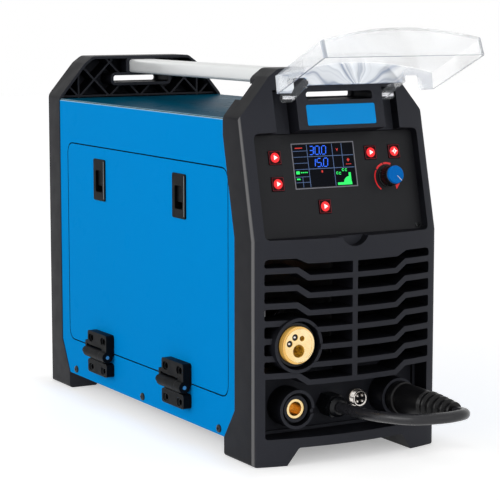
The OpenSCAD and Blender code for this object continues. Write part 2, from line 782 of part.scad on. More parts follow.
module torch_contacts() color([0.15, 0.15, 0.16]) machine() for (p = contact_offsets)
    difference() {
        rod_y(torch_front_y + 0.5, 12, torch_x + p[0], torch_z + p[1], 6);
        rod_y(-30, 4, torch_x + p[0], torch_z + p[1], 3.4);
    }

// Shell of a power socket, open at the front
module socket_shell(x) difference() {
    rod_y(socket_front_y, grille_depth, x, connector_z, socket_d);
    difference() {
        rod_y(socket_front_y - 1, socket_front_y + 12, x, connector_z, socket_d - 6);
        rod_y(socket_front_y + 3, socket_front_y + 13, x, connector_z, brass_d + 6);
    }
    rod_y(socket_front_y - 1, 60, x, connector_z, brass_d);
    rod_x(x, x + 30, socket_front_y, connector_z - 3, 5);
}

module socket_shell_left() color([0.12, 0.12, 0.13]) machine() socket_shell(-socket_x);
module socket_shell_right() color([0.12, 0.12, 0.13]) machine() socket_shell(socket_x);

module socket_brass(x) difference() {
    rod_y(socket_front_y + 4, 46, x, connector_z, brass_d);
    rod_y(socket_front_y - 1, 32, x, connector_z, socket_bore_d);
}

module socket_inserts() color([0.85, 0.65, 0.25]) machine() for (s = [-1, 1])
    socket_brass(s * socket_x);

module signal_socket() color([0.75, 0.76, 0.78]) machine() difference() {
    union() {
        rod_y(8, 34, signal_x, signal_z, signal_d);
        rod_y(14, grille_depth, signal_x, signal_z, signal_d + 1.2);
    }
    rod_y(0, 26, signal_x, signal_z, signal_d - 3.6);
}

module signal_pins() color([0.8, 0.8, 0.82]) machine() {
    rod_y(14, 26, signal_x, signal_z, signal_d - 3.6);
    for (sx = [-1, 1], sz = [-1, 1]) rod_y(10, 15, signal_x + sx * 2.8, signal_z + sz * 2.8, 2);
}

module lead_gland() color([0.08, 0.08, 0.09]) machine() difference() {
    union() {
        translate([lead_gland_x, 1, lead_gland_z]) rotate([-90, 0, 0])
            cylinder(h = grille_depth - 1, d = lead_nut_d, $fn = 6);
        rod_y(-3, 36, lead_gland_x, lead_gland_z, lead_gland_d - 4 - 2 * touch);
        rod_y(-3, 3, lead_gland_x, lead_gland_z, lead_gland_d);
        translate([lead_gland_x, lead_y0, lead_gland_z]) rotate([-90, 0, 0])
            cylinder(h = -3 - lead_y0 + touch, d1 = lead_d + 3.6, d2 = lead_gland_d, $fn = round_fn);
    }
    rod_y(lead_y0 + touch, 60, lead_gland_x, lead_gland_z, lead_d);
}

module case_screws() color([0.1, 0.1, 0.11]) machine() {
    for (y = screw_spots, s = [0, 1]) mirror([s, 0, 0]) {
        rod_x(sheet_x, sheet_x + 2, y, screw_z, 8);
        rod_x(sheet_x - 9, sheet_x, y, screw_z, screw_d);
    }
    face() translate([panel_screw_spot[0], panel_screw_spot[1], -panel_depth])
        cylinder(h = 0.8, d = 5, $fn = round_fn);
}

// One leaf's knuckles between y0 and y1
module knuckle(y0, y1) rod_y(y0, y1, hinge_x, hinge_z, knuckle_d);

// Plate of a leaf with its two screw recesses
module leaf_plate(mid, z0, z1, screw_z) difference() {
    along_x(-sheet_x - leaf_t, -sheet_x)
        polygon(round_box(mid - hinge_w / 2, z0, mid + hinge_w / 2, z1, 3));
    for (s = [-1, 1]) {
        rod_x(-150, -sheet_x - 3, mid + s * 15, screw_z, 6);
        along_x(-150, -sheet_x - leaf_t + 1.4) polygon(round_box(mid + s * 15 - 6, screw_z - 4.2,
            mid + s * 15 + 6, screw_z + 4.2, 4));
    }
}

module lower_leaf(mid) {
    y0 = mid - hinge_w / 2;
    difference() {
        union() {
            leaf_plate(mid, 32.5, 47, 38.5);
            knuckle(y0 + 12, y0 + hinge_w + 3);
            translate([hinge_x, y0 + 12, 44]) cube([5, hinge_w - 15, 8]);
        }
        rod_y(y0 - 20, y0 + 80, hinge_x, hinge_z, hinge_pin_d);
    }
}

module hinge_lower_leaves() color([0.1, 0.1, 0.11]) machine() difference() {
    for (m = hinge_mids) lower_leaf(m);
    // Room for the upper leaf as the door turns
    for (m = hinge_mids)
        rod_y(m - hinge_w / 2 - 1, m - hinge_w / 2 + 12 - touch, hinge_x, hinge_z, knuckle_d + 1);
}

module upper_leaf(mid) {
    y0 = mid - hinge_w / 2;
    difference() {
        union() {
            leaf_plate(mid, 62.5, 78, 70.5);
            translate([hinge_x - 1.5, y0, hinge_z + 1]) cube([leaf_t, 11.5, 12]);
            knuckle(y0, y0 + 11.5);
            rod_y(y0 + hinge_w + 3.5, y0 + hinge_w + 9, hinge_x, hinge_z, 8);
            translate([hinge_x - 1, y0 + hinge_w + 3.5, hinge_z]) cube([leaf_t - 2, 4, 9]);
            translate([hinge_x - 1, y0 + hinge_w - 9, hinge_z + 8.4]) cube([leaf_t - 2, 16.5, 3]);
        }
        rod_y(y0 - 20, y0 + 80, hinge_x, hinge_z, hinge_pin_d + 2 * shaft_gap);
    }
}

module hinge_upper_leaves() color([0.1, 0.1, 0.11]) machine() for (m = hinge_mids) upper_leaf(m);

module hinge_pins() color([0.6, 0.62, 0.64]) machine() for (m = hinge_mids)
    rod_y(m - hinge_w / 2 - 0.3, m + hinge_w / 2 + 10, hinge_x, hinge_z, hinge_pin_d);

module door() color([0.0, 0.46, 0.78]) machine() difference() {
    union() {
        along_x(-sheet_x, -sheet_x + sheet_t) door_outline(door_gap);
        along_x(-sheet_x, -sheet_x + door_flange) difference() {
            door_outline(door_gap);
            door_outline(door_gap + sheet_t);
        }
    }
    for (m = latch_mids) along_x(-w2 - 5, -w2 + 20) polygon(round_box(m - latch_w / 2 + 2,
        latch_z - latch_h / 2 + 2, m + latch_w / 2 - 2, latch_z + latch_h / 2 - 2, 1));
}

module latch_frames() color([0.09, 0.09, 0.1]) machine() for (m = latch_mids) difference() {
    union() {
        along_x(-sheet_x - latch_proud, -sheet_x) polygon(round_box(m - latch_w / 2,
            latch_z - latch_h / 2, m + latch_w / 2, latch_z + latch_h / 2, 2));
        along_x(-sheet_x - 0.5, -sheet_x + 12) polygon(round_box(m - latch_w / 2 + 2,
            latch_z - latch_h / 2 + 2, m + latch_w / 2 - 2, latch_z + latch_h / 2 - 2, 1));
    }
    // Finger well in which the slide runs
    along_x(-w2 - 5, -sheet_x + 10) polygon(round_box(m - 8, latch_z - 13, m + 8, latch_z + 10, 2));
}

module latch_slide(mid) along_x(-sheet_x + 1, -sheet_x + 9.6)
    polygon(round_box(mid - 7.6, latch_z - 6.5, mid + 7.6, latch_z + 9.6, 1.6));

module latch_slide_front() color([0.07, 0.07, 0.08]) machine() latch_slide(latch_mids[0]);
module latch_slide_rear() color([0.07, 0.07, 0.08]) machine() latch_slide(latch_mids[1]);

// Section across the cover under its crowned panel, inset by t
module cover_section(t) {
    half = cover_half - t;
    r = (cover_half * cover_half + cover_sag * cover_sag) / (2 * cover_sag);
    n0 = cover_sag - t - r;
    polygon(concat([[half, -cover_drop - 2], [half, n0 + sqrt(r * r - half * half)]],
        [for (i = [1:15]) let (x = half * (1 - i / 8)) [x, n0 + sqrt(r * r - x * x)]],
        [[-half, n0 + sqrt(r * r - half * half)], [-half, -cover_drop - 2]]));
}

// How far along the cover its leaning near wall stands at height h over the sides' upper edge
function cover_near(h) = cover_l - cover_near_slope * h;

// The cover's outer form, or its hollow when inset by t
module cover_block(t) intersection() {
    translate([0, cover_l + 20, 0]) rotate([90, 0, 0]) linear_extrude(cover_l + 20 - t) cover_section(t);
    along_x(-cover_half, cover_half) polygon([[t, -cover_drop - 2 * t],
        [cover_near(-cover_drop - 2 * t) - t, -cover_drop - 2 * t],
        [cover_near(cover_sag + 1) - t, cover_sag + 1], [t, cover_sag + 1]]);
    translate([0, 0, -40]) linear_extrude(80) polygon(rounded([[-cover_half + t, t], [cover_half - t, t],
        [cover_half - t, cover_l + 20], [-cover_half + t, cover_l + 20]], [3.5 - t, 3.5 - t, 0, 0]));
}

// The cover in its closed place on the leaning face: a box over the recess, on two hinge arms
module cover_closed() {
    arm_x0 = block_half + arm_gap;
    difference() {
        union() {
            translate([0, cover_far_v, cover_far_n]) rotate([cover_tilt, 0, 0]) difference() {
                cover_block(0);
                cover_block(cover_t);
                // Near wall: shorter under the middle, open where the arms pass
                translate([-arm_x0 - arm_t, cover_l - 12, -cover_drop - 1])
                    cube([2 * (arm_x0 + arm_t), 30, cover_drop + 1 - hood_h]);
                mirrored() translate([0, cover_l + 20, 0]) rotate([90, 0, 0]) linear_extrude(32)
                    polygon(rounded([[arm_x0 + arm_t, -cover_drop - 3], [channel_half + 5, -cover_drop - 3],
                        [channel_half + 0.5, -cover_drop + 4], [channel_half + 0.5, -2.5],
                        [arm_x0 + arm_t, -2.5]], [0, 0, 3, 3, 3]));
            }
            // Arms with hinge knuckles
            mirrored() {
                along_x(arm_x0, arm_x0 + arm_t) polygon(arm_pts);
                translate([arm_x0, cover_hinge_v, cover_hinge_n]) rotate([0, 90, 0])
                    cylinder(h = arm_w, d = cover_pin_d + 4.6, $fn = 32);
            }
        }
        mirrored() translate([arm_x0 - 1, cover_hinge_v, cover_hinge_n]) rotate([0, 90, 0])
            cylinder(h = arm_w + 2, d = cover_pin_d + 2 * shaft_gap, $fn = 32);
    }
}

module clear_cover() color([0.85, 0.9, 0.95, 0.4]) machine() face()
    translate([0, cover_hinge_v, cover_hinge_n]) rotate([-cover_open, 0, 0])
        translate([0, -cover_hinge_v, -cover_hinge_n]) cover_closed();

module dial_body() color([0.06, 0.06, 0.07]) machine() face()
    translate([dial_spot[0], dial_spot[1], -panel_depth]) {
        translate([0, 0, run_gap]) cylinder(h = dial_h - 3, d = dial_d, $fn = fine_fn);
        translate([0, 0, -8]) cylinder(h = 9, d = 6, $fn = round_fn);
    }

module dial_cap() color([0.0, 0.4, 0.75]) machine() face()
    translate([dial_spot[0], dial_spot[1], -panel_depth + dial_h - 3 + run_gap])
        cylinder(h = 3 - run_gap, d = dial_cap_d, $fn = fine_fn);

module button(i) face() translate([button_spots[i][0], button_spots[i][1], -panel_depth]) {
    translate([0, 0, -panel_t]) linear_extrude(panel_t + button_rim)
        polygon(round_box(-button_w / 2, -button_w / 2, button_w / 2, button_w / 2, 1.5));
}

module button_1() color([0.8, 0.1, 0.1]) machine() button(0);
module button_2() color([0.8, 0.1, 0.1]) machine() button(1);
module button_3() color([0.8, 0.1, 0.1]) machine() button(2);
module button_4() color([0.8, 0.1, 0.1]) machine() button(3);
module button_5() color([0.8, 0.1, 0.1]) machine() button(4);

module fan_frame() color([0.1, 0.1, 0.11]) machine() {
    difference() {
        translate([fan_x - fan_size / 2, fan_y, fan_z - fan_size / 2])
            cube([fan_size, fan_depth, fan_size]);
        rod_y(fan_y - 1, fan_y + fan_depth + 1, fan_x, fan_z, fan_d + 4);
    }
    // Motor carrier on three struts
    rod_y(fan_y, fan_y + 4, fan_x, fan_z, fan_hub_d);
    for (a = [30, 150, 270]) translate([fan_x, fan_y, fan_z]) rotate([0, a, 0])
        translate([fan_hub_d / 2 - 2, 0, -3]) cube([fan_d / 2 - fan_hub_d / 2 + 6, 4, 6]);
    rod_y(fan_y, fan_y + 20, fan_x, fan_z, 4);
}

module fan_rotor() color([0.12, 0.12, 0.13]) machine() difference() {
    union() {
        rod_y(fan_y + 4.6, fan_y + 22, fan_x, fan_z, fan_hub_d);
        for (i = [0:blade_count - 1]) translate([fan_x, fan_y + 13.5, fan_z])
            rotate([0, i * 360 / blade_count, 0]) translate([fan_hub_d / 2 - 2, 0, 0])
                rotate([35, 0, 0]) translate([0, -1, -11]) cube([fan_d / 2 - fan_hub_d / 2 - 1, 2, 22]);
    }
    rod_y(fan_y, fan_y + 20.3, fan_x, fan_z, 4 + 2 * shaft_gap);
}

module fan_guard() color([0.75, 0.76, 0.78]) machine() {
    for (r = [16:12:fan_d / 2 + 2]) translate([fan_x, rear_y, fan_z]) rotate([-90, 0, 0])
        rotate_extrude($fn = fine_fn) translate([r, 0]) square([1.8, 1.8]);
    for (a = [45:90:315]) translate([fan_x, rear_y, fan_z]) rotate([0, a, 0])
        translate([12, 0, -1]) cube([fan_size / 2 + 8, 2.4, 2]);
    for (sx = [-1, 1], sz = [-1, 1]) rod_y(rear_y, rear_y + 2, fan_x + sx * 52.5, fan_z + sz * 52.5, 9);
}

module switch_body() color([0.08, 0.08, 0.09]) machine() difference() {
    union() {
        translate([left_service_x - switch_w / 2, rear_y - 30, switch_z - switch_h / 2])
            cube([switch_w, 30, switch_h]);
        along_y(rear_y, rear_y + 2) polygon(round_box(left_service_x - switch_w / 2 - 2.5,
            switch_z - switch_h / 2 - 2.5, left_service_x + switch_w / 2 + 2.5,
            switch_z + switch_h / 2 + 2.5, 2));
    }
    translate([left_service_x - rocker_w / 2 - run_gap, rear_y - 13, switch_z - rocker_r - 0.9])
        cube([rocker_w + 2 * run_gap, 20, 2 * rocker_r + 1.8]);
    rod_x(left_service_x - rocker_w / 2 - 2, left_service_x + rocker_w / 2 + 2,
        rocker_y, switch_z, 3 + 2 * shaft_gap);
}

module switch_rocker() color([0.1, 0.1, 0.11]) machine() {
    intersection() {
        rod_x(left_service_x - rocker_w / 2, left_service_x + rocker_w / 2,
            rocker_y, switch_z, 2 * rocker_r);
        translate([0, rocker_y, switch_z]) rotate([rocker_tilt, 0, 0])
            translate([-big, -4, -big]) cube([2 * big, 9, 2 * big]);
    }
    rod_x(left_service_x - rocker_w / 2 - 1.6, left_service_x + rocker_w / 2 + 1.6,
        rocker_y, switch_z, 3);
}

module mains_gland() color([0.08, 0.08, 0.09]) machine() difference() {
    union() {
        rod_y(rear_y - 14, rear_y + 10, left_service_x, mains_z, 20 - 2 * touch);
        rod_y(rear_y, rear_y + 4, left_service_x, mains_z, 28);
        rod_y(rear_wall_y - 6, rear_wall_y, left_service_x, mains_z, 26);
    }
    rod_y(rear_y - 20, rear_y + 20, left_service_x, mains_z, 11);
}

module gas_inlet() color([0.85, 0.65, 0.25]) machine() difference() {
    union() {
        rod_y(rear_y - 20, rear_y + 14, left_service_x, gas_z, 10 - 2 * touch);
        rod_y(rear_y + 10, rear_y + 19, left_service_x, gas_z, 8);
        rod_y(rear_y, rear_y + 4, left_service_x, gas_z, 17);
        for (i = [0:2]) translate([left_service_x, rear_y + 8 + i * 4, gas_z]) rotate([-90, 0, 0])
            cylinder(h = 3.4, d1 = 11, d2 = 8, $fn = round_fn);
    }
    rod_y(rear_y - 30, rear_y + 30, left_service_x, gas_z, 5);
}

module gas_valve() color([0.7, 0.6, 0.35]) machine() {
    translate([left_service_x - 12, rear_y - 46, gas_z - 10]) cube([24, 26, 20]);
    rod_y(rear_y - valve_reach, rear_y - 46, left_service_x, gas_z, 6);
    translate([left_service_x, rear_y - 33, gas_z + 10]) cylinder(h = 28, d = 22, $fn = round_fn);
}

module feed_frame() color([0.72, 0.73, 0.75]) machine() difference() {
    union() {
        translate([frame_x - frame_t, feed_y - feed_front, frame_low_z])
            cube([frame_t, feed_front + feed_back, press_z + 14 - frame_low_z]);
        // Foot and bracket to the partition
        translate([frame_x - frame_t, feed_y - feed_front, frame_low_z])
            cube([partition_x - frame_x + frame_t, feed_front + feed_back, 5]);
        // Blocks that hold the wire guides
        translate([wire_x - 7, feed_y - feed_front, wire_z - 9]) cube([frame_x - wire_x + 7, 20, 15]);
        translate([wire_x - 7, feed_y + 20, wire_z - 9]) cube([frame_x - wire_x + 7, 10, 15]);
        // Pivot ear of the pressure arm
        rod_x(frame_x - frame_t - 3, frame_x, arm_pivot_y, arm_pivot_z, 16);
        rod_x(frame_x - frame_t - 24, frame_x, arm_pivot_y, arm_pivot_z, 6);
    }
    rod_x(frame_x - frame_t - 1, frame_x + 1, feed_y, drive_z, roll_shaft_d + 6);
    rod_y(feed_y - 60, feed_y - 10, wire_x, wire_z, 8);
    rod_y(feed_y + 10, feed_y + 60, wire_x, wire_z, 8);
}

module feed_motor() color([0.25, 0.26, 0.28]) machine() difference() {
    union() {
        rod_x(frame_x, frame_x + motor_l, feed_y, drive_z, motor_d - 6);
        rod_x(frame_x, frame_x + 22, feed_y, drive_z, motor_d);
    }
    rod_x(frame_x - 1, frame_x + 14, feed_y, drive_z, roll_shaft_d + 2 * shaft_gap);
}

module wire_guides() color([0.8, 0.8, 0.82]) machine() {
    difference() {
        rod_y(torch_back_y, feed_y - feed_front + 20, wire_x, wire_z, 8);
        rod_y(torch_back_y - 8, feed_y, wire_x, wire_z, 2.4);
    }
    difference() {
        rod_y(feed_y + 20, feed_y + 46, wire_x, wire_z, 8);
        rod_y(feed_y, feed_y + 60, wire_x, wire_z, 2.4);
    }
}

module drive_roll() color([0.7, 0.71, 0.73]) machine() union() {
    rod_x(wire_x - roll_w / 2, wire_x + roll_w / 2, feed_y, drive_z, roll_d);
    rod_x(wire_x - roll_w / 2 - 12, frame_x + 12, feed_y, drive_z, roll_shaft_d);
    rod_x(wire_x - roll_w / 2 - 14, wire_x - roll_w / 2, feed_y, drive_z, 20);
}

// Arm over the pressure roll with its tension knob
module pressure_arm() color([0.1, 0.1, 0.11]) machine() {
    x1 = frame_x - frame_t - 3.4;
    difference() {
        union() {
            translate([x1 - 18, feed_y - 34, press_z + 17]) cube([18, 68, 9]);
            rod_x(x1 - 18, x1, arm_pivot_y, arm_pivot_z, 14);
            translate([x1 - 18, arm_pivot_y - 7, arm_pivot_z]) cube([18, 14, press_z - arm_pivot_z + 26]);
            for (x = [x1 - 18, x1 - 3]) translate([x, feed_y - 8, press_z - 6]) cube([3, 16, 26]);
            translate([x1 - 9, feed_y - 26, press_z + 25]) cylinder(h = 34, d = 7, $fn = round_fn);
            translate([x1 - 9, feed_y - 26, press_z + 36]) cylinder(h = 30, d = 18, $fn = round_fn);
        }
        rod_x(-150, 0, arm_pivot_y, arm_pivot_z, 6 + 2 * shaft_gap);
        rod_x(-150, 0, feed_y, press_z, 6 + 2 * shaft_gap);
    }
}

module pressure_roll() color([0.7, 0.71, 0.73]) machine() {
    x1 = frame_x - frame_t - 3.4;
    rod_x(x1 - 14.4, x1 - 3.6, feed_y, press_z, roll_d);
    rod_x(x1 - 20, x1 + 1, feed_y, press_z, 6);
}

module spool_axle() color([0.2, 0.2, 0.22]) machine() {
    rod_x(spool_x - spool_w / 2 - 4, partition_x, spool_y, spool_z, axle_d);
    rod_x(partition_x - 6, partition_x, spool_y, spool_z, 56);
}

module wire_spool() color([0.12, 0.12, 0.13]) machine() difference() {
    union() {
        rod_x(spool_x - spool_w / 2, spool_x + spool_w / 2, spool_y, spool_z, hub_d + 4);
        for (x = [spool_x - spool_w / 2, spool_x + spool_w / 2 - 3])
            rod_x(x, x + 3, spool_y, spool_z, spool_d);
        rod_x(spool_x - spool_w / 2 + 2, spool_x + spool_w / 2 - 2, spool_y, spool_z, spool_d - 24);
        rod_x(spool_x - spool_w / 2 - 8, spool_x - spool_w / 2, spool_y, spool_z, 44);
    }
    rod_x(spool_x - spool_w / 2 - 4 - run_gap, 0, spool_y, spool_z, axle_d + 2 * shaft_gap);
    for (a = [0:60:300]) translate([0, spool_y, spool_z]) rotate([a, 0, 0]) translate([0, 0, 65])
        rod_x(spool_x - spool_w / 2 - 1, spool_x - spool_w / 2 + 1.5, 0, 0, 26);
}

module power_board() color([0.05, 0.3, 0.15]) machine() difference() {
    translate([partition_x + bay_gap, board_y, board_z]) cube([board_w, board_l, board_t]);
    for (x = [6, board_w - 10], y = [8, board_l - 8])
        translate([partition_x + bay_gap + x, board_y + y, board_z - 5])
            cylinder(h = board_t + 10, d = 4, $fn = 24);
}

module heat_sink() color([0.72, 0.73, 0.75]) machine() {
    x0 = partition_x + bay_gap + 2;
    translate([x0, sink_y, board_z - sink_base_t]) cube([sink_w, sink_l, sink_base_t]);
    for (i = [0:floor((sink_w - fin_t) / fin_pitch)])
        translate([x0 + i * fin_pitch, sink_y, board_z - sink_h])
            cube([fin_t, sink_l, sink_h - sink_base_t + 1]);
}

module transformer() color([0.5, 0.3, 0.12]) machine() {
    pan_z = sheet_low_z + sheet_t + 0.8;
    translate([partition_x + bay_gap + (coil_w - core_w) / 2, core_y, pan_z])
        cube([core_w, core_l, core_h]);
    translate([partition_x + bay_gap, core_y + (core_l - coil_l) / 2, pan_z + (core_h - coil_h) / 2])
        cube([coil_w, coil_l, coil_h]);
}

module choke() color([0.5, 0.3, 0.12]) machine() difference() {
    x = partition_x + bay_gap - 8 + choke_d / 2;
    translate([x, choke_y, sheet_low_z + sheet_t + 0.8]) cylinder(h = choke_h, d = choke_d, $fn = fine_fn);
    translate([x, choke_y, 0]) cylinder(h = 2 * choke_h, d = choke_bore_d, $fn = round_fn);
}

// Turns children, drawn along -Y, to the plug's slightly raised axis
module plug_frame() translate([socket_x, socket_front_y, connector_z]) children();

module plug_body() color([0.85, 0.65, 0.25]) machine() plug_frame() {
    rod_y(-plug_collar_l, 0.5, 0, 0, plug_collar_d);
    rod_y(-2, 24, 0, 0, socket_bore_d - 2 * shaft_gap);
}

boot_dir = plug_axis_end - [socket_x, socket_front_y - 1, connector_z];
boot_l = norm(boot_dir);
// Radius of the boot along its axis, with ribs near the tip
function boot_r(s) = let (
    cone = 15.5 - 2.4 * s / boot_l - 6 * pow(s / boot_l, 2.2),
    rib_zone = s > boot_l * 0.52 && s < boot_l - 2,
    wave = rib_zone ? 0.9 * cos(360 * boot_ribs * (s / boot_l - 0.52) / 0.48) : 0
) cone + wave;
boot_steps = 60;

module plug_boot() color([0.07, 0.07, 0.08]) machine() difference() {
    translate([socket_x, socket_front_y - 1, connector_z])
        rotate([acos(boot_dir[2] / boot_l), 0, atan2(boot_dir[0], -boot_dir[1])])
            rotate_extrude($fn = round_fn) polygon(concat([[0, 0]],
                [for (i = [0:boot_steps]) let (s = boot_l * i / boot_steps) [boot_r(s), s]], [[0, boot_l]]));
    plug_frame() rod_y(-plug_collar_l - touch, 10, 0, 0, plug_collar_d + 2 * touch);
}

// Ring frames along the route, by a smooth curve through its points
function catmull(p0, p1, p2, p3, t) = 0.5 * ((2 * p1) + (p2 - p0) * t
    + (2 * p0 - 5 * p1 + 4 * p2 - p3) * t * t + (3 * p1 - p0 - 3 * p2 + p3) * t * t * t);
route_n = len(lead_route);
function route_at(i) = lead_route[max(0, min(route_n - 1, i))];
lead_path = concat([for (i = [0:route_n - 2], k = [0:lead_steps - 1])
    catmull(route_at(i - 1), route_at(i), route_at(i + 1), route_at(i + 2), k / lead_steps)],
    [lead_route[route_n - 1]]);
lead_n = len(lead_path);
function lead_dir(i) = i == 0 ? [0, -1, 0] : (i == lead_n - 1 ? unit(-boot_dir)
    : unit(lead_path[i + 1] - lead_path[i - 1]));
function lead_ring(i) = let (
    d = lead_dir(i),
    side = unit(cross(d, [0, 0, 1])),
    up = cross(side, d)
) [for (k = [0:lead_sides - 1]) let (a = 360 * k / lead_sides)
    lead_path[i] + lead_d / 2 * (cos(a) * side + sin(a) * up)];

module bridge_lead() color([0.06, 0.06, 0.07]) machine() polyhedron(
    points = [for (i = [0:lead_n - 1]) each lead_ring(i)],
    faces = concat(
        [[for (k = [0:lead_sides - 1]) k]],
        [[for (k = [lead_sides - 1:-1:0]) (lead_n - 1) * lead_sides + k]],
        [for (i = [0:lead_n - 2], k = [0:lead_sides - 1]) let (
            a = i * lead_sides + k,
            b = i * lead_sides + (k + 1) % lead_sides) [a, a + lead_sides, b + lead_sides]],
        [for (i = [0:lead_n - 2], k = [0:lead_sides - 1]) let (
            a = i * lead_sides + k,
            b = i * lead_sides + (k + 1) % lead_sides) [a, b + lead_sides, b]]),
    convexity = 6);

front_bezel();
rear_bezel();
case_sheet();
base_pan();
partition();
handle_bar();
connector_plate();
key_panel();
display();
control_board();
name_plate();
cover_pins();
torch_socket();
torch_collar();
torch_contacts();
socket_shell_left();
socket_shell_right();
socket_inserts();
signal_socket();
signal_pins();
lead_gland();
case_screws();
hinge_lower_leaves();
hinge_pins();
fan_frame();
fan_guard();
switch_body();
switch_rocker();
mains_gland();
gas_inlet();
gas_valve();
feed_frame();
feed_motor();
wire_guides();
spool_axle();
power_board();
heat_sink();
transformer();
choke();
plug_body();
plug_boot();
bridge_lead();
door();
hinge_upper_leaves();
latch_frames();
latch_slide_front();
latch_slide_rear();
clear_cover();
dial_body();
dial_cap();
button_1();
button_2();
button_3();
button_4();
button_5();
fan_rotor();
drive_roll();
pressure_arm();
pressure_roll();
wire_spool();
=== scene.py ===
"""Looks of a portable wire-feed welding machine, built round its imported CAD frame.

Lengths named here are millimetres in the machine's own directions: x to the operator's right,
y to the rear from the front corner plane, z up from the floor. spot() turns them into the frame's
metres.
"""

import json
import math

import bmesh
import bpy
from mathutils import Matrix, Vector

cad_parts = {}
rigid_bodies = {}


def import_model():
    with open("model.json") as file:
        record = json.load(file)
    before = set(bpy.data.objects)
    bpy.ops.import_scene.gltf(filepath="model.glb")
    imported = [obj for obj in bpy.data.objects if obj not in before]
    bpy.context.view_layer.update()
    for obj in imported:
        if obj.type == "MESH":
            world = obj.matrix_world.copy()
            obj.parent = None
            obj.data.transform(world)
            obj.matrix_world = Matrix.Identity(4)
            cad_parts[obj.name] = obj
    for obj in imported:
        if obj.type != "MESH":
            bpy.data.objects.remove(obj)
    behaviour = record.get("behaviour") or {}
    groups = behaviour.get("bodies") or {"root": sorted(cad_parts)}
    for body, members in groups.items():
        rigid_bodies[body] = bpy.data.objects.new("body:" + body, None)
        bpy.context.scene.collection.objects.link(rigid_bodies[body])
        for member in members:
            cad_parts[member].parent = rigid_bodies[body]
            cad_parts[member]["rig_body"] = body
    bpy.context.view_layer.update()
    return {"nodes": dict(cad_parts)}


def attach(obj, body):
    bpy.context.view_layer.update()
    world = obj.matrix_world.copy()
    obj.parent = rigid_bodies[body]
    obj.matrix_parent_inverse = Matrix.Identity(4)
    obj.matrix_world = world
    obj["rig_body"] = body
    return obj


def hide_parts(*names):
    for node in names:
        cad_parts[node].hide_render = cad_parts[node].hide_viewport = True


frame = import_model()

MM = 0.001
CORNERS = ((-1, -1), (-1, 1), (1, -1), (1, 1))
SQUARE = ((-1, -1), (1, -1), (1, 1), (-1, 1))

# Driving dimensions, as in the part's source
BODY_L = 470
CREASE_Z = 213.4
LEAN = math.radians(13.2)
PANEL_N = -5.8
BUTTON_SPOTS = [(-66.1, 77.5), (-65.9, 52.5), (-17.3, 28.9), (40.5, 78.2), (67.5, 78.3)]
BUTTON_RIM = 1.0
DIAL_SPOT = (56.6, 53.8)
DIAL_H = 16.5
DIAL_D = 20
LCD_MID = (-12.2, 68.3)
LCD_W = 69.5
LCD_H = 43.6
SOCKET_X = 57
SOCKET_Z = 52
SOCKET_FRONT_Y = -5
TORCH = (-59.5, -10, 114.3)
WIRE_BORE = (-58.8, 108.8)
GAS_BORE = (-55.1, 120.5)
# Centre shift, drop and radius of the step round the torch connector's face, which brass_face draws with
# painted shade.
STEP_SHIFT = 2.0
STEP_DROP = 0.4
STEP_R = 15.8
SIGNAL = (21.5, 8, 52)
LEAD_D = 10.4
LEAD_ROUTE = [
    (-10, -6, 49), (-10, -16, 49.4), (-10.3, -29, 50.1), (-11, -43, 51), (-11, -57, 52.2),
    (-9.5, -71, 53.2), (-6, -85, 54.3), (0, -98, 54.9), (9, -109, 55.7), (21, -117, 56.7),
    (34.5, -120.5, 57.2), (48, -119, 57.4), (58, -112, 56.2), (63, -101, 54.6), (64, -89, 53),
]
HINGE_MIDS = (147.5, 325)
LATCH_MIDS = (147.5, 332.5)
LATCH_Z = 242.3
LATCH_PROUD = 1.6
SHEET_X = 101.5
SCREW_YS = (67, 233, 399)
SCREW_Z = 24.5
SPOOL = (-52, 300, 165)


def spot(x, y, z):
    """A place on the machine in the frame's metres."""
    return Vector((x, y - BODY_L / 2, z)) * MM


FACE = (
    Matrix.Translation(spot(0, 0, CREASE_Z))
    @ Matrix.Rotation(math.pi / 2 - LEAN, 4, "X")
    @ Matrix.Scale(MM, 4)
)


def face_at(x, v, n=PANEL_N):
    """Matrix whose origin is on the leaning face and whose Z points out of it, in millimetres."""
    return FACE @ Matrix.Translation((x, v, n))


def wall_at(x, y, z, turn=0.0):
    """Matrix in millimetres whose Z points out of the front, or of the wall a turn from it, Y up."""
    turned = Matrix.Rotation(turn, 4, "Z") @ Matrix.Rotation(math.pi / 2, 4, "X")
    return Matrix.Translation(spot(x, y, z)) @ turned @ Matrix.Scale(MM, 4)


def side_at(x, y, z, sign):
    """The same for the left (-1) or right (1) side."""
    return wall_at(x, y, z, sign * math.pi / 2)


COVER_HINGE = (130.8, 12.1)
COVER_OPEN = math.radians(104.7)
COVER_FAR = (8.3, 10.5)
COVER_TILT = math.radians(4.5)

# The open cover's own millimetres: x across, y from its far edge to its near wall, z outward
COVER = (
    FACE
    @ Matrix.Translation((0, *COVER_HINGE))
    @ Matrix.Rotation(-COVER_OPEN, 4, "X")
    @ Matrix.Translation((0, COVER_FAR[0] - COVER_HINGE[0], COVER_FAR[1] - COVER_HINGE[1]))
    @ Matrix.Rotation(COVER_TILT, 4, "X")
)


# ---------------------------------------------------------------- camera

CAMERA_PLACE = (-942.85, -1478.23, 437.04)
CAMERA_AZIMUTH = math.radians(-29.53)
CAMERA_RISE = math.radians(7.74)
CAMERA_LENS = 134.4


def add_object(name, data):
    """An object of a mesh, curve, lamp or camera, linked to the scene."""
    made = bpy.data.objects.new(name, data)
    bpy.context.scene.collection.objects.link(made)
    return made


def aim(thing, way):
    """Turns a camera or lamp to look along a direction."""
    thing.rotation_mode = "QUATERNION"
    thing.rotation_quaternion = way.to_track_quat("-Z", "Y")


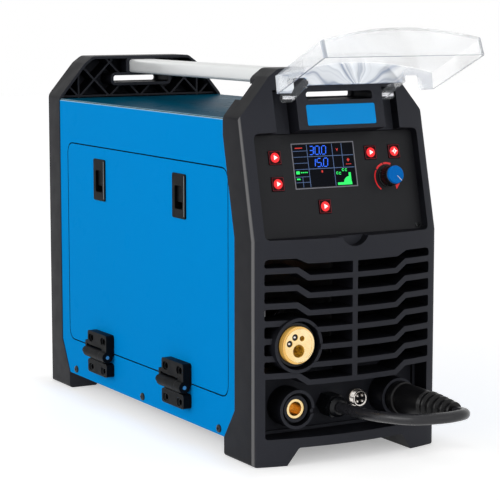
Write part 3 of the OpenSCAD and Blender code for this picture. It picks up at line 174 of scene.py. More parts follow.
def make_camera():
    data = bpy.data.cameras.new("camera")
    data.lens = CAMERA_LENS
    data.sensor_width = 36
    data.clip_start = 0.05
    data.clip_end = 50
    camera = add_object("camera", data)
    camera.location = spot(*CAMERA_PLACE)
    back = Vector((
        math.sin(CAMERA_AZIMUTH) * math.cos(CAMERA_RISE),
        -math.cos(CAMERA_AZIMUTH) * math.cos(CAMERA_RISE),
        math.sin(CAMERA_RISE),
    ))
    aim(camera, -back)
    bpy.context.scene.camera = camera


make_camera()


# ---------------------------------------------------------------- materials


class Nodes:
    """The shader nodes of a material or a world."""

    def __init__(self, owner):
        owner.use_nodes = True
        self.tree = owner.node_tree

    def node(self, kind, **values):
        made = self.tree.nodes.new("ShaderNode" + kind)
        for key, value in values.items():
            setattr(made, key, value)
        return made

    def link(self, source, target):
        self.tree.links.new(source, target)

    def feed(self, target, source):
        """Gives a socket a number, a vector or what another socket sends."""
        if isinstance(source, bpy.types.NodeSocket):
            self.link(source, target)
        else:
            target.default_value = source

    def wire(self, kind, *sources, **values):
        """Outputs of a new node whose first sockets are fed in their order."""
        made = self.node(kind, **values)
        for socket, source in zip(made.inputs, sources):
            self.feed(socket, source)
        return made.outputs

    def maths(self, operation, *sources):
        return self.wire("Math", *sources, operation=operation)[0]

    def vector(self, operation, *sources):
        return self.wire("VectorMath", *sources, operation=operation)

    def split(self, vector):
        """X, Y and Z of a vector."""
        return self.wire("SeparateXYZ", vector)

    def span(self, value, low, high, to_low, to_high):
        """value from low..high to to_low..to_high, clamped."""
        return self.wire("MapRange", value, low, high, to_low, to_high)[0]

    def seen_directly(self):
        """One for rays that show the backdrop itself: camera, mirror and clear plastic rays."""
        path = self.node("LightPath").outputs
        mirrored = self.maths("MAXIMUM", path["Is Camera Ray"], path["Is Glossy Ray"])
        return self.maths("MAXIMUM", mirrored, path["Is Transmission Ray"])


class Look(Nodes):
    """A procedural material: its Principled shader and the nodes that feed it."""

    def __init__(self, name, colour, rough, metallic=0.0, specular=0.5, **sockets):
        self.material = bpy.data.materials.new(name)
        super().__init__(self.material)
        self.shader = self.tree.nodes["Principled BSDF"]
        self.colour = (*colour, 1.0)
        self.rough = rough
        sockets |= {"Base_Color": self.colour, "Roughness": rough, "Metallic": metallic}
        sockets["Specular_IOR_Level"] = specular
        for socket, value in sockets.items():
            self.shader.inputs[socket.replace("_", " ")].default_value = value
        self.place = self.node("TexCoord").outputs["Object"]
        self.height = None

    def noise(self, scale, detail=3.0, stretch=None):
        """Noise at scale waves per metre, stretched along an axis if asked."""
        made = self.node("TexNoise")
        made.inputs["Scale"].default_value = scale
        made.inputs["Detail"].default_value = detail
        source = self.place
        if stretch:
            mapping = self.node("Mapping")
            mapping.inputs["Scale"].default_value = stretch
            self.link(source, mapping.inputs["Vector"])
            source = mapping.outputs["Vector"]
        self.link(source, made.inputs["Vector"])
        return made.outputs["Fac"]

    def facing(self, way, low, high):
        """How far the surface faces a direction: 0 at a cosine of low, 1 at high."""
        normal = self.node("NewGeometry").outputs["Normal"]
        dot = self.vector("DOT_PRODUCT", normal, Vector(way).normalized())["Value"]
        return self.span(dot, low, high, 0.0, 1.0)

    def mixed(self, first, second, share):
        """A blend of a colour or socket towards another colour by a share."""
        mix = self.node("Mix", data_type="RGBA")
        self.feed(mix.inputs[6], first)
        mix.inputs[7].default_value = (*second, 1.0)
        self.link(share, mix.inputs[0])
        self.link(mix.outputs[2], self.shader.inputs["Base Color"])
        return self

    def vary_colour(self, amount, scale, other=None):
        """Blends the colour towards another by slow noise."""
        other = other or tuple(min(1.0, c * 1.6 + 0.004) for c in self.colour[:3])
        return self.mixed(self.colour, other, self.span(self.noise(scale, 4.0), 0.35, 0.7, 0.0, amount))

    def blend(self, colour, share):
        """Blends what the base colour has so far towards another colour by a share."""
        base = self.shader.inputs["Base Color"]
        first = base.links[0].from_socket if base.is_linked else self.colour
        return self.mixed(first, colour, share)

    def vary_rough(self, amount, scale):
        low, high = self.rough - amount, self.rough + amount
        rough = self.span(self.noise(scale, 4.0), 0.3, 0.7, low, high)
        self.link(rough, self.shader.inputs["Roughness"])
        return self

    def glow(self, colour, strength):
        """Light of its own, with a strength that is a number or a socket."""
        self.shader.inputs["Emission Color"].default_value = (*colour, 1.0)
        self.feed(self.shader.inputs["Emission Strength"], strength)
        return self

    def bump(self, scale, detail, strength, distance, stretch=None):
        """Unevenness by noise, on top of what there is."""
        made = self.node("Bump")
        made.inputs["Strength"].default_value = strength
        made.inputs["Distance"].default_value = distance
        self.link(self.noise(scale, detail, stretch), made.inputs["Height"])
        if self.height:
            self.link(self.height, made.inputs["Normal"])
        self.height = made.outputs["Normal"]
        self.link(self.height, self.shader.inputs["Normal"])
        return self


# Plain looks. Each row: colour, roughness, metallic and specular level, then the arguments of
# vary_colour(), vary_rough() and bump(), or None.
PLAIN = {
    # A lighter copy of the black plastic for the bezels' rounded edges: a painted highlight.
    "moulded_edge_highlight": ((0.050, 0.051, 0.056), 0.45, 0, 0.15, (0.3, 15, (0.060, 0.061, 0.067)), (0.05, 60),
        (1400, 2, 0.1, 0.0002)),
    "shell_inside": ((0.009, 0.0102, 0.0140), 0.6, 0, 0.15, (0.2, 20), None, (1200, 2, 0.15, 0.0002)),
    "plate_black": ((0.0150, 0.0162, 0.0220), 0.55, 0, 0.15, (0.3, 20), None, (1200, 2, 0.15, 0.0002)),
    # Painted shade for the inner faces of the case sheet and the door.
    "sheet_inside_shade": ((0.004, 0.012, 0.022), 0.6, 0, 0.1, (0.3, 20), None, None),
    "satin_aluminium": ((0.88, 0.89, 0.885), 0.34, 0.35, 0.5, None, (0.06, 30),
        (700, 2, 0.08, 0.0002, (1.0, 0.02, 1.0))),
    "turned_steel": ((0.62, 0.62, 0.64), 0.25, 0.95, 0.5, None, (0.06, 80),
        (900, 2, 0.05, 0.0001, (0.05, 1.0, 1.0))),
    "brass": ((0.93, 0.72, 0.38), 0.20, 1, 0.5, (0.8, 55, (0.86, 0.56, 0.20)), (0.05, 90),
        (600, 2, 0.03, 0.0001)),
    # The painted highlight line on the latch frames.
    "latch_highlight": ((0.16, 0.20, 0.22), 0.35, 0, 0.3, (0.5, 200, (0.10, 0.13, 0.15)), None, None),
    "nickel": ((0.78, 0.74, 0.70), 0.2, 1, 0.5, None, (0.05, 120), (500, 2, 0.03, 0.0001)),
    "key_film": ((0.013, 0.0135, 0.016), 0.5, 0, 0.2, None, (0.04, 50), (2200, 1, 0.10, 0.0001)),
    "screen_glass": ((0.003, 0.004, 0.008), 0.12, 0, 0.05, None, (0.03, 50), (30, 1, 0.02, 0.0005)),
    "gloss_black": ((0.005, 0.005, 0.006), 0.26, 0, 0.28, None, (0.05, 70), (500, 2, 0.04, 0.0001)),
    "hinge_black": ((0.0036, 0.0042, 0.0050), 0.45, 0, 0.05, (0.5, 120, (0.006, 0.0065, 0.0075)),
        (0.08, 90), (1500, 3, 0.35, 0.0002)),
    # A lighter copy of the hinge plastic for the leaves' rounded edges: a painted highlight.
    "hinge_edge_highlight": ((0.022, 0.025, 0.028), 0.4, 0, 0.2, (0.5, 120, (0.030, 0.033, 0.036)), None,
        (1500, 3, 0.2, 0.0002)),
    "rubber_boot": ((0.004, 0.004, 0.0045), 0.34, 0, 0.22, None, (0.06, 60), (900, 3, 0.12, 0.0002)),
    "rubber_lead": ((0.017, 0.017, 0.020), 0.30, 0, 0.42, None, (0.06, 70), (700, 2, 0.10, 0.0002)),
    "plate_blue": ((0.001, 0.335, 0.87), 0.35, 0, 0.1, (0.2, 30, (0.001, 0.32, 0.83)), (0.04, 60),
        (900, 1, 0.03, 0.0001)),
    "cap_blue": ((0.0005, 0.17, 0.62), 0.38, 0, 0.05, (0.25, 60, (0.0006, 0.19, 0.66)), (0.05, 90),
        (1500, 2, 0.1, 0.0001)),
    "rim_red": ((0.26, 0.016, 0.028), 0.4, 0, 0.2, (0.2, 300), None, None),
    "printed_white": ((0.8, 0.8, 0.8), 0.45, 0, 0.5, (0.2, 300, (0.7, 0.7, 0.7)), None, None),
    "key_cap": ((0.016, 0.002, 0.003), 0.35, 0, 0.08, (0.3, 200), (0.05, 100), (1500, 1, 0.05, 0.0001)),
    "circuit_board": ((0.01, 0.10, 0.04), 0.4, 0, 0.5, (0.8, 400, (0.02, 0.20, 0.08)), (0.1, 200),
        (900, 2, 0.1, 0.0002)),
    "raw_aluminium": ((0.66, 0.67, 0.69), 0.38, 0.85, 0.5, (0.4, 60, (0.5, 0.51, 0.53)), (0.08, 60),
        (400, 3, 0.1, 0.0003)),
    "varnished_copper": ((0.42, 0.14, 0.03), 0.35, 0.6, 0.5, (0.6, 150, (0.30, 0.09, 0.02)), (0.08, 100),
        (300, 2, 0.3, 0.0006, (1.0, 1.0, 0.1))),
    "motor_enamel": ((0.03, 0.03, 0.034), 0.4, 0.3, 0.5, None, (0.08, 60), (600, 3, 0.1, 0.0002)),
    "spool_plastic": ((0.02, 0.02, 0.022), 0.5, 0, 0.5, (0.4, 30), (0.08, 60), (800, 2, 0.12, 0.0002)),
    "coppered_wire": ((0.72, 0.36, 0.16), 0.3, 1, 0.5, (0.5, 80, (0.62, 0.28, 0.11)), (0.06, 90),
        (800, 1, 0.05, 0.0001)),
}

# Lit areas: colour, strength, and how much of the strength comes and goes
LIT = {
    "lit_red": ((0.78, 0.01, 0.015), 0.9, 0.3),
    "lit_white": ((1.0, 0.86, 0.84), 0.75, 0.1),
    "lcd_blue": ((0.01, 0.12, 0.85), 0.95, 0.2),
    "lcd_line": ((0.06, 0.11, 0.24), 0.55, 0.2),
    "lcd_frame": ((0.16, 0.16, 0.19), 0.25, 0.2),
    "lcd_red": ((0.6, 0.02, 0.01), 0.6, 0.2),
    "lcd_green": ((0.01, 0.72, 0.11), 0.9, 0.2),
}


def plain(name):
    colour, rough, metallic, specular, *steps = PLAIN[name]
    made = Look(name, colour, rough, metallic, specular)
    for step, values in zip((made.vary_colour, made.vary_rough, made.bump), steps):
        if values:
            step(*values)
    return made


def lit(name):
    colour, strength, falloff = LIT[name]
    made = Look(name, colour, 0.35)
    return made.glow(colour, made.span(made.noise(250, 1), 0.3, 0.7, strength * (1 - falloff), strength))


SPECIAL = {}


def special(make):
    """Marks a function that makes the look of its name."""
    SPECIAL[make.__name__] = make
    return make


MADE = {}


def look(name):
    """The material of a name, made when it is first asked for."""
    if name not in MADE:
        if name in SPECIAL:
            made = SPECIAL[name]()
        else:
            made = plain(name) if name in PLAIN else lit(name)
        MADE[name] = made.material
    return MADE[name]


@special
def moulded_black():
    """Grained plastic with painted light: lighter where it faces the front, a painted highlight down the
    rounded front corner and painted shade on the shoulders that look up and to the left.
    """
    made = Look("moulded_black", (0.0068, 0.0071, 0.0098), 0.46, specular=0.10)
    made.vary_colour(0.25, 9, (0.009, 0.0095, 0.0125)).vary_rough(0.05, 60)
    # Painted light: lighter where the surface faces the front.
    made.blend((0.031, 0.0325, 0.0405), made.facing((0, -1, 0.1), 0.4, 0.9))
    # Painted highlight down the rounded front corner.
    made.blend((0.15, 0.148, 0.150), made.facing((-0.86, -0.50, 0.05), 0.93, 0.985))
    # Painted shade on shoulders that face up and to the left.
    made.blend((0.0045, 0.0047, 0.0062), made.facing((-0.65, 0, 0.75), 0.8, 0.97))
    made.bump(1400, 2, 0.16, 0.0002)
    return made.bump(7, 2, 0.05, 0.004)


# Heights in metres over which the painted highlight along the sheet's top edge comes in.
SHEET_HIGHLIGHT_Z = (0.316, 0.318)


@special
def blue_paint():
    """Satin paint with painted light: a top darkened by painted shade and reflection, and a pale painted
    highlight along the sheet's top edge.
    """
    made = Look("blue_paint", (0.0004, 0.250, 0.645), 0.30, specular=0.002)
    made.vary_colour(0.35, 3, (0.0004, 0.255, 0.68)).vary_rough(0.04, 40)
    # Painted shade and reflection on faces that look up.
    made.blend((0.0004, 0.075, 0.135), made.facing((0, 0, 1), 0.8, 0.98))
    # Painted highlight along the top edge: high up, on faces that look up and to the left.
    high = made.span(made.split(made.place)["Z"], *SHEET_HIGHLIGHT_Z, 0.0, 1.0)
    made.blend((0.38, 0.58, 0.66), made.maths("MULTIPLY", high, made.facing((-0.7, 0, 0.7), 0.86, 0.97)))
    made.bump(900, 2, 0.07, 0.0002)
    return made.bump(4, 1, 0.04, 0.006)


@special
def zinc_plate():
    """Zinc with painted shade: near black where it faces the front and only sees the inside of the grille."""
    made = Look("zinc_plate", (0.32, 0.33, 0.35), 0.38, 0.85)
    made.vary_colour(0.5, 40, (0.24, 0.25, 0.27)).vary_rough(0.1, 25)
    # Painted shade on faces that look to the front.
    made.blend((0.004, 0.004, 0.005), made.facing((0, -1, 0), 0.6, 0.9))
    return made.bump(200, 3, 0.05, 0.0002)


@special
def brass_bore_glow():
    """Brass deep in a hole, where it only mirrors more brass: that reflection is a painted glow."""
    made = Look("brass_bore_glow", (0.16, 0.075, 0.006), 0.4, specular=0.3)
    # Painted reflection: a patchy glow of its own.
    made.glow((0.30, 0.15, 0.01), made.span(made.noise(420, 2), 0.42, 0.64, 0.0, 1.0))
    return made.vary_colour(0.9, 300, (0.45, 0.25, 0.03))


@special
def brass_face():
    """Brass of the torch connector with painted light: a golden flank of painted reflection and glow, and a
    step turned round its face that is drawn with painted shade.
    """
    made = Look("brass_face", (0.95, 0.76, 0.44), 0.20, 1.0)
    made.vary_colour(0.8, 55, (0.86, 0.58, 0.22)).vary_rough(0.05, 90)
    middle = spot(TORCH[0] + STEP_SHIFT, TORCH[1], TORCH[2] - STEP_DROP)
    offset = made.vector("SUBTRACT", made.place, middle)[0]
    radius = made.vector("LENGTH", made.vector("MULTIPLY", offset, (1, 0, 1))[0])["Value"]
    # Painted shade of the step round the face: a darker golden band, then a dark line.
    for colour, start, width, share in (((0.80, 0.47, 0.13), STEP_R, 0.5, 0.9),
                                        ((0.25, 0.13, 0.03), STEP_R + 2.6, 0.8, 0.8)):
        made.blend(colour, made.span(radius, start * MM, (start + width) * MM, 0.0, share))
    # Painted reflection and glow on the flank that faces left.
    flank = made.facing((-1, 0, 0.3), 0.2, 0.7)
    made.blend((0.62, 0.36, 0.08), flank)
    made.link(made.span(flank, 0.0, 1.0, 1.0, 0.1), made.shader.inputs["Metallic"])
    made.glow((0.55, 0.31, 0.06), made.span(flank, 0.0, 1.0, 0.0, 0.6))
    return made.bump(600, 2, 0.03, 0.0001)


@special
def gland_black():
    made = Look("gland_black", (0.004, 0.0045, 0.006), 0.3, specular=0.25)
    made.vary_rough(0.05, 70)
    # Painted highlight: a bright glint where the surface looks up, left and to the front.
    return made.blend((0.42, 0.44, 0.47), made.facing((-0.62, -0.42, 0.66), 0.955, 0.995))


@special
def clear_plastic():
    made = Look("clear_plastic", (1.0, 1.0, 1.0), 0.03, Transmission_Weight=1.0, IOR=1.2, Alpha=0.5)
    # A faint painted glow that lightens the clear plastic.
    made.glow((0.90, 0.95, 1.0), 0.045).vary_rough(0.015, 30)
    return made.bump(16, 1, 0.03, 0.002)


@special
def clear_edge():
    # Painted highlight: the cover's rims and edges, paler and less clear than the rest.
    return Look("clear_edge", (0.30, 0.34, 0.42), 0.15, Alpha=0.66).vary_colour(0.7, 45, (0.72, 0.77, 0.84))


# Foot of the painted rays on the cover's near wall, and the span across, in metres, over which the wall turns
# clearer.
RAY_FOOT = (0, 88, -14)
RAY_FADE = (0.028, 0.055)


@special
def clear_wall():
    """Near wall of the cover, seen almost edge on, with painted light: bright, with painted rays of refracted
    light spreading from its middle and a painted glow.
    """
    pale = (0.93, 0.96, 1.0)
    made = Look("clear_wall", pale, 0.12, Alpha=0.66)
    foot = COVER @ Vector(RAY_FOOT)
    up = ((COVER @ Vector((*RAY_FOOT[:2], 0))) - foot).normalized()
    along = made.vector("SUBTRACT", made.place, foot)[0]
    rise = made.vector("DOT_PRODUCT", along, up)["Value"]
    across = made.split(along)["X"]
    angle = made.maths("ARCTAN2", rise, across)
    wander = made.maths("ADD", angle, made.span(made.noise(45, 1), 0.0, 1.0, -0.35, 0.35))
    rays = made.node("TexNoise", noise_dimensions="1D")
    for socket, value in (("Scale", 3.4), ("Detail", 2.0), ("W", wander)):
        made.feed(rays.inputs[socket], value)
    # Painted rays of refracted light.
    made.blend((0.36, 0.45, 0.64), made.span(rays.outputs["Fac"], 0.50, 0.74, 0.0, 1.0))
    made.link(made.span(across, *RAY_FADE, 0.66, 0.28), made.shader.inputs["Alpha"])
    # Painted glow, strongest away from the rays.
    return made.glow((0.92, 0.96, 1.0), made.span(rays.outputs["Fac"], 0.3, 0.62, 0.35, 0.0))


@special
def printed_red():
    # The red print glows a little: painted light.
    return Look("printed_red", (0.62, 0.008, 0.012), 0.4).glow((0.8, 0.01, 0.015), 0.25).vary_colour(0.2, 300)


@special
def black_screw():
    made = Look("black_screw", (0.0045, 0.006, 0.007), 0.3, specular=0.3)
    made.vary_colour(0.5, 300, (0.008, 0.010, 0.012)).vary_rough(0.1, 200)
    # Painted highlight: a glint where the head looks up, left and to the front.
    made.blend((0.06, 0.075, 0.085), made.facing((-0.75, -0.35, 0.55), 0.93, 0.99))
    return made.bump(1500, 2, 0.1, 0.0001)


# ---------------------------------------------------------------- mesh tools


def keep(mesh, name, body, material, matrix=None):
    """Makes a piece of a mesh, places it and lets it ride on its body."""
    piece = add_object(name, mesh)
    if matrix is not None:
        mesh.transform(matrix)
    mesh.materials.clear()
    mesh.materials.append(look(material))
    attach(piece, body)
    return piece


def to_mesh(bm, name, smooth_angle=35):
    """A mesh of a bmesh, shaded smooth up to an angle."""
    bmesh.ops.recalc_face_normals(bm, faces=bm.faces)
    mesh = bpy.data.meshes.new(name)
    bm.to_mesh(mesh)
    bm.free()
    shade(mesh, smooth_angle)
    return mesh


def shade(mesh, smooth_angle):
    """Smooth faces, with edges above the angle kept sharp."""
    limit = math.radians(smooth_angle)
    bm = bmesh.new()
    bm.from_mesh(mesh)
    for f in bm.faces:
        f.smooth = True
    for e in bm.edges:
        e.smooth = len(e.link_faces) == 2 and e.calc_face_angle(0.0) < limit
    bm.to_mesh(mesh)
    bm.free()


def box(x0, y0, x1, y1):
    """Outline of a box, anticlockwise."""
    return [(x0, y0), (x1, y0), (x1, y1), (x0, y1)]


def rounded_box(x0, y0, x1, y1, r, steps=4):
    """Outline of a box with round corners, anticlockwise."""
    points = []
    corners = ((x1 - r, y1 - r, 0), (x0 + r, y1 - r, 90), (x0 + r, y0 + r, 180), (x1 - r, y0 + r, 270))
    for cx, cy, start in corners:
        for i in range(steps + 1):
            a = math.radians(start + 90 * i / steps)
            points.append((cx + r * math.cos(a), cy + r * math.sin(a)))
    return points


def add_prism(bm, outline, z0, z1):
    """A closed slab of an outline."""
    low, high = ([bm.verts.new((x, y, z)) for x, y in outline] for z in (z0, z1))
    bm.faces.new(low[::-1])
    bm.faces.new(high)
    for i in range(len(outline)):
        j = (i + 1) % len(outline)
        bm.faces.new((low[i], low[j], high[j], high[i]))


def add_lathe(bm, profile, count=64, matrix=Matrix(), wave=None):
    """Turns a profile of (radius, height) about Z; wave(angle, radius, height) may change the radius."""
    rings = []
    for radius, height in profile:
        ring = []
        for i in range(count if radius > 0 else 1):
            a = 2 * math.pi * i / count
            r = wave(a, radius, height) if wave and radius > 0 else radius
            ring.append(bm.verts.new(matrix @ Vector((r * math.cos(a), r * math.sin(a), height))))
        rings.append(ring)
    for low, high in zip(rings, rings[1:]):
        for i in range(count):
            j = (i + 1) % count
            corners = (low[i % len(low)], low[j % len(low)], high[j % len(high)], high[i % len(high)])
            unique = list(dict.fromkeys(corners))
            if len(unique) > 2:
                bm.faces.new(unique)
    if profile[0] == profile[-1]:
        bmesh.ops.remove_doubles(bm, verts=rings[0] + rings[-1], dist=1e-5)


def lathe(name, profile, body, material, matrix, count=64, smooth=35, wave=None):
    bm = bmesh.new()
    add_lathe(bm, profile, count, wave=wave)
    return keep(to_mesh(bm, name, smooth), name, body, material, matrix)


def prisms(name, outlines, z0, z1, body, material, matrix):
    """Several flat slabs as one piece."""
    bm = bmesh.new()
    for outline in outlines:
        add_prism(bm, outline, z0, z1)
    return keep(to_mesh(bm, name), name, body, material, matrix)


def strip(points, width):
    """Outline of a band of a width along a line of points."""
    left, right = [], []
    for i, (x, y) in enumerate(points):
        ax, ay = points[max(0, i - 1)]
        bx, by = points[min(len(points) - 1, i + 1)]
        d = math.hypot(bx - ax, by - ay)
        nx, ny = -(by - ay) / d * width / 2, (bx - ax) / d * width / 2
        left.append((x + nx, y + ny))
        right.append((x - nx, y - ny))
    return right + left[::-1]


def joined_copy(node):
    """A bmesh of a CAD node with its split corners joined and flat faces merged."""
    bm = bmesh.new()
    bm.from_mesh(frame["nodes"][node].data)
    bmesh.ops.remove_doubles(bm, verts=bm.verts, dist=2e-6)
    bmesh.ops.dissolve_limit(
        bm, angle_limit=math.radians(0.5), verts=bm.verts, edges=bm.edges, use_dissolve_boundaries=False
    )
    return bm


def dress(node, material):
    """Gives a CAD node that stays its material."""
    obj = frame["nodes"][node]
    obj.data.materials.clear()
    obj.data.materials.append(look(material))
    return obj


def refine(node, material, slot, width=0.6, segments=2, angle=40, edge=None):
    """A copy of a CAD node with its sharp edges rounded, which stands for it; the rounded strips may
    have a look of their own."""
    body = frame["nodes"][node]["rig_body"]
    name = node + "_shape"
    mesh = to_mesh(joined_copy(node), name, 30)
    piece = keep(mesh, name, body, material)
    bevel = piece.modifiers.new("edges", "BEVEL")
    bevel.width = width * MM
    bevel.segments = segments
    bevel.limit_method = "ANGLE"
    bevel.angle_limit = math.radians(angle)
    bevel.harden_normals = True
    bevel.use_clamp_overlap = True
    if edge:
        piece.data.materials.append(look(edge))
        bevel.material = 1
    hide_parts(node)
    return piece


# ---------------------------------------------------------------- lead and plug


def make_lead():
    """The polarity lead: one smooth curve from its gland round to the plug's boot."""
    data = bpy.data.curves.new("polarity_lead", "CURVE")
    data.dimensions = "3D"
    data.bevel_depth = LEAD_D / 2 * MM
    data.bevel_resolution = 8
    data.resolution_u = 10
    data.use_fill_caps = True
    points = [spot(*p) for p in LEAD_ROUTE]
    spline = data.splines.new("BEZIER")
    spline.bezier_points.add(len(points) - 1)
    for i, p in enumerate(points):
        before = points[max(0, i - 1)]
        after = points[min(len(points) - 1, i + 1)]
        reach = (after - before) / 6
        knot = spline.bezier_points[i]
        knot.co = p
        knot.handle_left = p - reach
        knot.handle_right = p + reach
    lead = add_object("polarity_lead", data)
    data.materials.append(look("rubber_lead"))
    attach(lead, "case")
    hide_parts("bridge_lead")
    length = sum((b - a).length for a, b in zip(points, points[1:]))
    return lead, length, points[0]


BOOT_RIBS = 5
BOOT_R = 15.5
BOOT_FLANGE = 10
BOOT_SMOOTH = 0.52
# Each rib of the boot: places along its pitch and how far they stand off the cone
RIB_SHAPE = ((0.12, -1.1), (0.34, -1.1), (0.46, 0.5), (0.62, 0.85), (0.82, 0.7), (0.96, 0.1))


def make_boot():
    """Soft boot of the lead's plug: a cone with a flange and grip ribs near its tip."""
    start = spot(SOCKET_X, SOCKET_FRONT_Y - 1, SOCKET_Z)
    end = spot(*LEAD_ROUTE[-1])
    length = (end - start).length / MM
    rib_start = BOOT_SMOOTH * length
    rib_pitch = (length - rib_start) / BOOT_RIBS

    def cone(s):
        return BOOT_R - 2.4 * s / length - 6 * (s / length) ** 2.2

    profile = [(0, 0), (15.6, 0), (16.2, 0.6), (16.2, 7.5), (15.6, 8.4), (14.3, 8.8)]
    steps = 12
    profile += [
        (cone(s), s)
        for s in (BOOT_FLANGE + (rib_start - BOOT_FLANGE) * i / steps for i in range(steps + 1))
    ]
    for i in range(BOOT_RIBS):
        s = rib_start + i * rib_pitch
        for share, rise in RIB_SHAPE:
            profile.append((cone(s) + rise, s + share * rib_pitch))
    profile += [(6.9, length - 0.2), (LEAD_D / 2 + 0.1, length), (0, length - 0.05)]
    matrix = (
        Matrix.Translation(start)
        @ (end - start).to_track_quat("Z", "Y").to_matrix().to_4x4()
        @ Matrix.Scale(MM, 4)
    )
    boot = lathe("lead_boot", profile, "case", "rubber_boot", matrix, 72, 50)
    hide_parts("plug_boot")
    return boot


lead, lead_length, lead_exit = make_lead()
boot = make_boot()
dress("plug_body", "brass")


# ---------------------------------------------------------------- shells

SHEET_T = 1.2
SHEET_TOP = 324.3
LOUVRE_YS = (95, 375)
LOUVRE_ZS = (86, 226)
LOUVRE_X = 100.02
LOUVRE_SHADE_T = 0.26


def shade_inner_faces(piece):
    """Gives the inner faces of a painted sheet piece a dark material: painted shade for the inside of the
    case.
    """
    piece.data.materials.append(look("sheet_inside_shade"))
    for face in piece.data.polygons:
        place = face.center / MM
        if abs(place.x) < SHEET_X - SHEET_T / 2 and place.z < SHEET_TOP - SHEET_T / 2:
            face.material_index = 1


def make_louvre_shade_sheet():
    """Dark sheet of painted shade against the inside of the right side's louvres."""
    front, rear = (y - BODY_L / 2 for y in LOUVRE_YS)
    outline = rounded_box(front, LOUVRE_ZS[0], rear, LOUVRE_ZS[1], 3)
    at = side_at(LOUVRE_X, BODY_L / 2, 0, 1)
    prisms("louvre_shade_sheet", [outline], 0, LOUVRE_SHADE_T, "case", "shell_inside", at)


for bezel in ("front_bezel", "rear_bezel"):
    # The bezels' rounded edges get a painted highlight.
    refine(bezel, "moulded_black", "black_plastic", 0.8, 2, 28, "moulded_edge_highlight")
shade_inner_faces(refine("case_sheet", "blue_paint", "blue_paint", 0.4, 2, 50))
make_louvre_shade_sheet()
shade_inner_faces(refine("door", "blue_paint", "blue_paint", 0.4, 2, 50))
refine("handle_bar", "satin_aluminium", "bar_metal", 0.5, 2, 50)
refine("connector_plate", "plate_black", "black_plastic", 0.3, 1, 50)
dress("base_pan", "zinc_plate")
dress("partition", "zinc_plate")


# ---------------------------------------------------------------- control panel

refine("key_panel", "key_film", "key_film", 0.15, 1, 50)
dress("display", "screen_glass")
dress("control_board", "circuit_board")
refine("name_plate", "plate_blue", "plate_blue", 0.4, 2, 50)

LCD_N = PANEL_N - 0.2
PRINT_T = 0.12
LCD_MARGIN = 3
LCD_INNER_W = LCD_W - LCD_MARGIN
LCD_INNER_H = LCD_H - LCD_MARGIN
LCD_BORDER = 0.9


def lcd(u, w):
    """Share across and down the screen to millimetres on the face."""
    return (LCD_MID[0] + (u - 0.5) * LCD_INNER_W, LCD_MID[1] + (0.5 - w) * LCD_INNER_H)


def rule(u0, w0, u1, w1, width=0.55):
    """A line ruled between two places on the screen."""
    return strip([lcd(u0, w0), lcd(u1, w1)], width)


LCD_COLUMN = 0.235
LCD_UNITS = 0.655
LCD_MARKS = 0.815
LCD_ROWS = (0.285, 0.575)
LCD_LEFT_ROWS = (0.145, 0.285, 0.43, 0.575, 0.75, 0.88)

SEGMENTS = {"0": "abcdef", "1": "bc", "3": "abcdg", "5": "acdfg"}


def digit(symbol, left, top, width, height, slant=0.12):
    """Seven-segment strokes of a digit, as outlines in screen millimetres."""
    t = width * 0.17
    gap = t * 0.2
    mid = height / 2
    lines = {
        "a": ((t, 0), (width - t, 0)),
        "b": ((width, -t * 0.7), (width, -mid + gap)),
        "c": ((width, -mid - gap), (width, -height + t * 0.7)),
        "d": ((t, -height), (width - t, -height)),
        "e": ((0, -mid - gap), (0, -height + t * 0.7)),
        "f": ((0, -t * 0.7), (0, -mid + gap)),
        "g": ((t, -mid), (width - t, -mid)),
    }
    made = []
    for key in SEGMENTS[symbol]:
        points = [(left + x + slant * (y + height), top + y) for x, y in lines[key]]
        made.append(strip(points, t))
    return made


def readout(text, u, w, height=7.9):
    """A row of digits whose top left corner is at a share of the screen."""
    x, top = lcd(u, w)
    width = height * 0.58
    made = []
    for symbol in text:
        if symbol == ".":
            dot = (x - 0.55, top - height)
            low, high = (dot[0] - 0.45, dot[1] - 0.35), (dot[0] + 0.45, dot[1] + 0.55)
            made.append(rounded_box(*low, *high, 0.2, 2))
            x += 0.75
            continue
        made += digit(symbol, x, top, width, height)
        x += width * 1.42
    return made


def ring_outline(mid, radius, width, a0, a1, steps=24):
    points = [
        (mid[0] + radius * math.cos(math.radians(a)), mid[1] + radius * math.sin(math.radians(a)))
        for a in (a0 + (a1 - a0) * i / steps for i in range(steps + 1))
    ]
    return strip(points, width)


